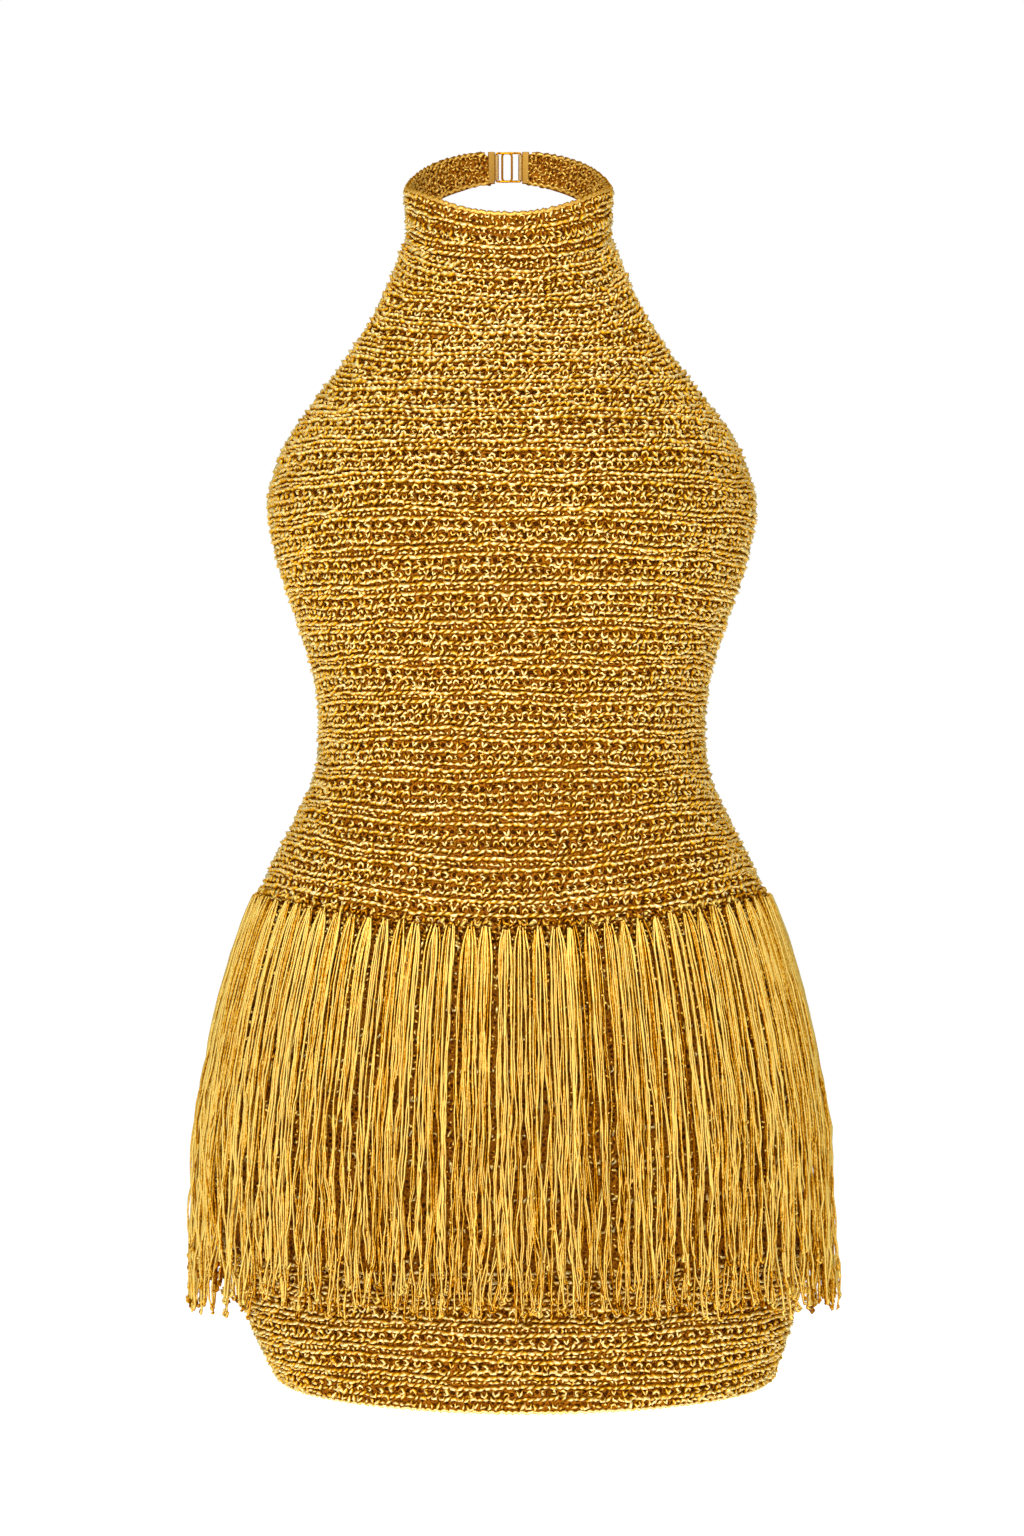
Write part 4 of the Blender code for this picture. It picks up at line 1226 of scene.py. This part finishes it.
def hem_row(first, last, above=0.6 * MM, depth=0.4 * WALL):
    return [pair_at(t, HEM + above, depth) for t in steps(first, last, math.radians(1.5))]


FRONT_SPAN, BACK_SPAN = (EDGE - QUARTER, QUARTER - EDGE), (QUARTER + EDGE, 3 * QUARTER - EDGE)


def edging(name, edges, span, seed):
    """The chain round the free edges, and a row of loops just above the hem."""
    above_hem = [hem_row(*span, above=3.6 * MM, depth=0.0)]
    return join_meshes(name, [
        yarn_rows(name + "_chain", edges, YARN, seed),
        loop_rows(name + "_loops", above_hem, seed + 3, pitch=4.0 * MM, lift=-0.6 * MM),
    ])


edging("front_edging", [armhole_edge(-1), armhole_edge(1), hem_row(*FRONT_SPAN)], FRONT_SPAN, 90)
edging("back_edging", [scoop_row(), hem_row(*BACK_SPAN)], BACK_SPAN, 91)
seam_rows = [[pair_at(side * QUARTER, h) for h in steps(UNDERARM, HEM, 5 * MM)] for side in (-1, 1)]
join_meshes("side_seams", [
    stitch_rows("seam_stitches", seam_rows, YARN, 92, CHAINS, 4.4 * MM, -1.1 * MM, 0.8, turn=0.9)
])

# %% [markdown]
# ## Fringe
#
# Each bundle is seven lengths of yarn, folded in half over the last row and drawn through their own loop,
# so that fourteen ends hang down. It is narrow and pointed at the top, spreads to touch its neighbours a
# finger's width below, and hangs from the hips straight down. The threads kink where the yarn was wound,
# and end unevenly. A guide curve for each bundle gives the way down.

# %% Where the fringe hangs
BUNDLE_PITCH = 10.5 * MM
BUNDLE_ASTRAY = 1.1 * MM  # how far a bundle may sit from its even place
MEAN_RADIUS = 0.16  # metres from the middle of the dress to the fringe
FRINGE_LENGTH, FRINGE_LONGER = 0.232, 0.030
FRINGE_STANDS_OFF = 10.5 * MM
FRINGE_CLEAR = 1.6 * MM
GUIDE_STEPS = 14
THREADS = 14
FINGERS = 5  # the threads of a bundle hang in this many groups
THREAD_THICK = 1.5 * MM
KNOTS_APART, KINKS_APART = 4.2 * MM, 4.6 * MM


def fringe_height(turn):
    return FRINGE_SIDE - FRINGE_DIP * abs(math.cos(turn)) ** 3


def hang_section(height):
    """The widest of all sections from the fringe row down to a height."""
    above = [section_at(FRINGE_SIDE + (height - FRINGE_SIDE) * k / 12) for k in range(13)]
    return above[-1]._replace(
        half_width=max(s.half_width for s in above),
        front_y=min(s.front_y for s in above),
        back_y=max(s.back_y for s in above),
    )


def hang_pair(turn, down, length):
    """A point of the hanging fringe, and the level way out from the dress there."""
    height = fringe_height(turn) - down
    s = hang_section(height)
    x, y, _ = on_section(s, turn)
    outward = Vector((x / s.half_width**2, (y - s.side_y) / abs(s.front_y - s.side_y) ** 2, 0)).normalized()
    stands_off = FRINGE_CLEAR + FRINGE_STANDS_OFF * (down / length) ** 0.7
    return Vector((x + LEAN, y, height)) + outward * stands_off, outward


def bundle_turns(first, last):
    """Turns at equal steps of the fringe row, one for each bundle."""
    fine = steps(first, last, math.radians(0.45))
    points = [cloth_point(t, fringe_height(t)) for t in fine]
    along = [0.0]
    for a, b in zip(points, points[1:]):
        along.append(along[-1] + (b - a).length)
    count = round(along[-1] / BUNDLE_PITCH)
    turns = []
    for k in range(count):
        wanted = along[-1] * (k + 0.5) / count
        i = next(i for i, a in enumerate(along) if a >= wanted)
        share = (wanted - along[i - 1]) / (along[i] - along[i - 1])
        turns.append(fine[i - 1] + (fine[i] - fine[i - 1]) * share)
    return turns


def fringe_guides(first, last, seed):
    """One way down for each bundle, with the outward direction at each point."""
    rng = random.Random(seed)
    guides = []
    for turn in bundle_turns(first, last):
        turn += rng.uniform(-1, 1) * BUNDLE_ASTRAY / MEAN_RADIUS
        length = FRINGE_LENGTH + FRINGE_LONGER * (1 - abs(math.cos(turn)) ** 1.5) + rng.uniform(2, 9) * MM
        downs = [length * (k / GUIDE_STEPS) ** 1.25 for k in range(GUIDE_STEPS + 1)]
        guides.append([hang_pair(turn, down, length) for down in downs])
    return guides


def gap_rows(first, last):
    """Lines down between the bundles, where short kinks of yarn show in the dark."""
    turns = bundle_turns(first, last)
    middles = [(near + far) / 2 for near, far in zip(turns, turns[1:])]
    downs = steps(8 * MM, 0.85 * FRINGE_LENGTH, 12 * MM)
    return [[hang_pair(turn, down, FRINGE_LENGTH) for down in downs] for turn in middles]


# %% [markdown]
# This tree copies each guide once for every thread. The number of a thread tells its bundle, its finger,
# as one of the groups in a bundle is called here, and its place in the finger. Numbers drawn at random for
# each of the three keep a bundle together at its head and let it come apart below. Noise bends the threads
# the more, the lower they hang.

# %% Threads from the guides


def thread_tree():
    """Makes the threads of each bundle: gathered at the head, spread below, kinked, with uneven ends."""
    sizes = ["Threads", "Head", "Spread", "Widen", "Depth", "Ragged", "Sway", "Kink", "Radius"]
    tree, given = new_tree("fringe_threads", sizes, collection=True)
    curve = add(tree, "GeometryNodeMeshToCurve", {"Mesh": given["Geometry"]})
    amount = {"Geometry": curve, "Amount": given["Threads"]}
    copies = add(tree, "GeometryNodeDuplicateElements", amount, domain="SPLINE")
    capture = add(tree, "GeometryNodeCaptureAttribute", {"Geometry": copies}, domain="CURVE")
    for label in ("copy", "thread"):
        capture.capture_items.new("INT", label)
    tree.links.new(copies.outputs[1], capture.inputs[1])
    tree.links.new(add(tree, "GeometryNodeInputIndex").outputs[0], capture.inputs[2])
    copy, thread = capture.outputs[1], capture.outputs[2]
    bundle = add(tree, MATH, (thread, given["Threads"]), operation="DIVIDE")
    bundle = add(tree, MATH, (bundle,), operation="FLOOR")
    finger = add(tree, MATH, (copy, given["Threads"]), operation="DIVIDE")
    finger = add(tree, MATH, (finger, float(FINGERS)), operation="MULTIPLY")
    finger = add(tree, MATH, (finger,), operation="FLOOR")
    rope = add(tree, MATH, (bundle, float(FINGERS), finger), operation="MULTIPLY_ADD")

    def draw(item, low, high, salt):
        """A random number for each thread, for each finger of a bundle or for each bundle."""
        return drawn(tree, given, item, low, high, salt)

    short = add(tree, MATH, (draw(thread, 0.0, 1.0, 1.0), 2.0), operation="POWER")
    short = add(tree, MATH, (short, given["Ragged"]), operation="MULTIPLY")
    end = add(tree, MATH, (1.0, short), operation="SUBTRACT")
    start = draw(rope, 0.0, 0.014, 16.0)
    cut = add(tree, "GeometryNodeTrimCurve", {0: capture, 2: start, 3: end}, mode="FACTOR")
    fine = add(tree, "GeometryNodeResampleCurve", {"Curve": cut, "Count": 28}, mode="COUNT")
    down = add(tree, "GeometryNodeSplineParameter").outputs["Factor"]
    out = add(tree, "GeometryNodeInputNamedAttribute", {"Name": "out"}, data_type="FLOAT_VECTOR")
    side = add(tree, VECTOR_MATH, ((0.0, 0.0, 1.0), out), operation="CROSS_PRODUCT")
    side = add(tree, VECTOR_MATH, (side,), operation="NORMALIZE")

    opening = add(tree, MATH, (down, 0.08), operation="DIVIDE")
    opening = add(tree, MATH, (opening, 1.0), operation="MINIMUM")
    opening = add(tree, MATH, (opening, 0.6), operation="POWER")
    spread = add(tree, MATH, (given["Spread"], draw(bundle, 0.85, 1.2, 18.0)), operation="MULTIPLY")
    spread = add(tree, MATH, (down, given["Widen"], spread), operation="MULTIPLY_ADD")
    beside = draw(thread, -1.0, 1.0, 2.0)
    below = add(tree, MATH, (finger, 0.5), operation="ADD")
    below = add(tree, MATH, (beside, 0.38, below), operation="MULTIPLY_ADD")
    below = add(tree, MATH, (below, float(FINGERS)), operation="DIVIDE")
    below = add(tree, MATH, (below, 2.0, -1.0), operation="MULTIPLY_ADD")
    below = add(tree, MATH, (below, spread), operation="MULTIPLY")
    at_head = add(tree, MATH, (finger, 2 / (FINGERS - 1), -1.0), operation="MULTIPLY_ADD")
    at_head = add(tree, MATH, (at_head, draw(rope, -0.35, 0.35, 20.0)), operation="ADD")
    at_head = add(tree, MATH, (at_head, given["Head"]), operation="MULTIPLY")
    across = add(tree, "ShaderNodeMapRange", {0: opening, 3: at_head, 4: below})
    outer = add(tree, MATH, (beside,), operation="ABSOLUTE")
    outer = add(tree, MATH, (outer, 2.0), operation="POWER")
    inner = add(tree, MATH, (1.0, outer), operation="SUBTRACT")
    front = add(tree, MATH, (inner, 0.45, draw(thread, 0.0, 0.55, 3.0)), operation="MULTIPLY_ADD")
    deep = add(tree, MATH, (front, given["Depth"]), operation="MULTIPLY")
    here = add(tree, "GeometryNodeInputPosition")

    def wander(item, salt, size, wavelength):
        """A noise that moves threads off their way, by up to about a third of size to each side."""
        own = add(tree, "ShaderNodeCombineXYZ", [draw(item, 0.0, 9.0, salt + k) for k in (0.0, 1.0)])
        spot = add(tree, VECTOR_MATH, (here, own), operation="ADD")
        field = add(tree, "ShaderNodeTexNoise", {"Vector": spot, "Scale": 1 / wavelength, "Detail": 0.0})
        both_ways = (field.outputs["Color"], (0.5, 0.5, 0.5))
        return add(tree, VECTOR_MATH, both_ways, operation="SUBTRACT"), size

    loose = add(tree, MATH, (down, 1.3), operation="POWER")
    sway = add(tree, MATH, (loose, given["Sway"]), operation="MULTIPLY")
    half_sway = add(tree, MATH, (sway, 0.5), operation="MULTIPLY")
    kink = add(tree, MATH, (loose, 0.4), operation="ADD")
    kink = add(tree, MATH, (kink, given["Kink"]), operation="MULTIPLY")
    offset = moved_by(tree, [
        (side, across),
        (out, deep),
        wander(rope, 10.0, sway, 55 * MM),
        wander(thread, 12.0, half_sway, 28 * MM),
        wander(thread, 14.0, kink, 15 * MM),
    ])
    hung = add(tree, "GeometryNodeSetPosition", {"Geometry": fine, "Offset": offset})
    # Painted shade: threads set deeper behind the others, most at the edges of a finger, are painted darker
    # and those in front paler, with a tone at random on top.
    tone = add(tree, MATH, (front, 0.8, draw(thread, -0.35, 0.5, 22.0)), operation="MULTIPLY_ADD")
    toned = add(tree, "GeometryNodeStoreNamedAttribute", {"Geometry": hung, "Name": "shade", "Value": tone})
    ends = add(tree, "GeometryNodeCurveEndpointSelection", (0, 1))
    tips = pieces_on(tree, given, toned, out, side, 0.8, 1.2, ends)
    threads = add(tree, "GeometryNodeJoinGeometry")
    for part in (tips, swept(tree, toned, given["Radius"], 3)):
        tree.links.new(part.outputs[0], threads.inputs[0])
    return finish_tree(tree, threads, given["Material"])


THREAD_TREE = thread_tree()

# %% [markdown]
# Between the pointed heads one sees the row that they are looped over, and a few strands that run along
# it in the shadow.

# %% The two halves of the fringe


def level_row(first, last, lower, step=math.radians(1.2)):
    """A row that follows the fringe, lower metres below it."""
    return [pair_at(t, fringe_height(t) - lower) for t in steps(first, last, step)]


def fringe(name, first, last, seed):
    behind = [level_row(first, last, below * MM) for below in (1.5, 5.0, 8.5, 12.0)]
    heads = [level_row(first, last, -0.6 * MM)]
    return join_meshes(name, [
        grow(
            name + "_threads", rows_mesh(name, fringe_guides(first, last, seed)), THREAD_TREE, THREAD, seed,
            Threads=float(THREADS), Head=1.8 * MM, Spread=5.2 * MM, Widen=1.4 * MM, Depth=3.8 * MM,
            Ragged=0.14, Sway=12 * MM, Kink=3.2 * MM, Radius=THREAD_THICK / 2, Stitches=TIPS,
        ),
        dot_rows(name + "_behind", behind, seed + 2, pitch=KNOTS_APART),
        stitch_rows(
            name + "_kinks", gap_rows(first, last), THREAD, seed + 4, DOTS, KINKS_APART, 0.6 * MM, 0.65,
            turn=1.5, shift=2.2 * MM,
        ),
        loop_rows(name + "_knots", heads, seed + 3, pitch=KNOTS_APART, lift=0.8 * MM),
    ])


# Under the heads of the fringe lie rows of dark cones as painted shade: the shadow that the heads cast on the
# cloth.
for half, first in (("front", EDGE - QUARTER), ("back", QUARTER + EDGE)):
    shadow = [level_row(first, first + math.pi - 2 * EDGE, below * MM) for below in (3.2, 6.8, 10.4, 14.0)]
    join_meshes(half + "_crochet_holes_at_fringe", [dark_cone_rows("dark", shadow, 120, 4.0 * MM, 1.15)])
fringe("fringe_front_threads", -QUARTER + EDGE, QUARTER - EDGE, 100)
fringe("fringe_back_threads", QUARTER + EDGE, 3 * QUARTER - EDGE, 110)

# %% [markdown]
# ## Clasp
#
# The plates and wires of the clasp are hard and fully modelled, so their CAD solids are shown as they are
# and only get their metal.

# %% Clasp
CLASP_NODES = {
    "clasp_plate_left": CLASP_PLATE,
    "clasp_plate_right": CLASP_PLATE,
    "clasp_eye": CLASP_WIRE,
    "clasp_hook": CLASP_WIRE,
}
for node, finish in CLASP_NODES.items():
    bpy.data.objects[node].material_slots[0].material = finish

# %% [markdown]
# ## The cut of the cloth
#
# Crochet is worked to shape, so its flat size is what the form measures along its rows and down its
# middle. Each sheet's cut is printed with that size and its area.

# %% Sheets


def cut_of(grid):
    """(widest row, longest column, area) of a grid of (point, outward) pairs, in metres."""
    points = [[p for p, _ in row] for row in grid]
    wide = max(sum((b - a).length for a, b in zip(row, row[1:])) for row in points)
    tall = max(sum((b - a).length for a, b in zip(column, column[1:])) for column in zip(*points))
    area = sum(
        (upper[j + 1] - upper[j]).cross(lower[j] - upper[j]).length
        for upper, lower in zip(points, points[1:])
        for j in range(len(upper) - 1)
    )
    return wide, tall, area


def state_sheet(ground, grid):
    wide, tall, area = cut_of(grid)
    flat = (round(wide, 3), round(tall, 3))
    area = round(min(area, flat[0] * flat[1]), 4)
    print(f"{ground}: cut {flat[0] * 1000:.0f} x {flat[1] * 1000:.0f} mm, {area:.4f} square metres")


on_back = [n for n in PIECES if n.startswith(("back_crochet", "back_edging", "fringe_back"))]
on_back += ["side_seams", "crochet_under_fringe", "hem_crochet_inside"]
state_sheet("front_ground", front_rows)
state_sheet("back_ground", back_rows)
state_sheet("collar_ground", collar_grid)

# %% [markdown]
# ## Finish
#
# Every piece rides on the one body of the dress and carries its material. Five of them take the place of
# the soft CAD solids, which are hidden.

# %% Finish
REPLACED = {
    "front_ground": "front_panel",
    "back_ground": "back_panel",
    "collar_ground": "collar_band",
    "fringe_front_threads": "fringe_front",
    "fringe_back_threads": "fringe_back",
}
for name, piece in PIECES.items():
    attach(piece, "root")
for name, node in REPLACED.items():
    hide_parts(node)
print("triangles in all:", sum(sum(len(f.vertices) - 2 for f in p.data.polygons) for p in PIECES.values()))
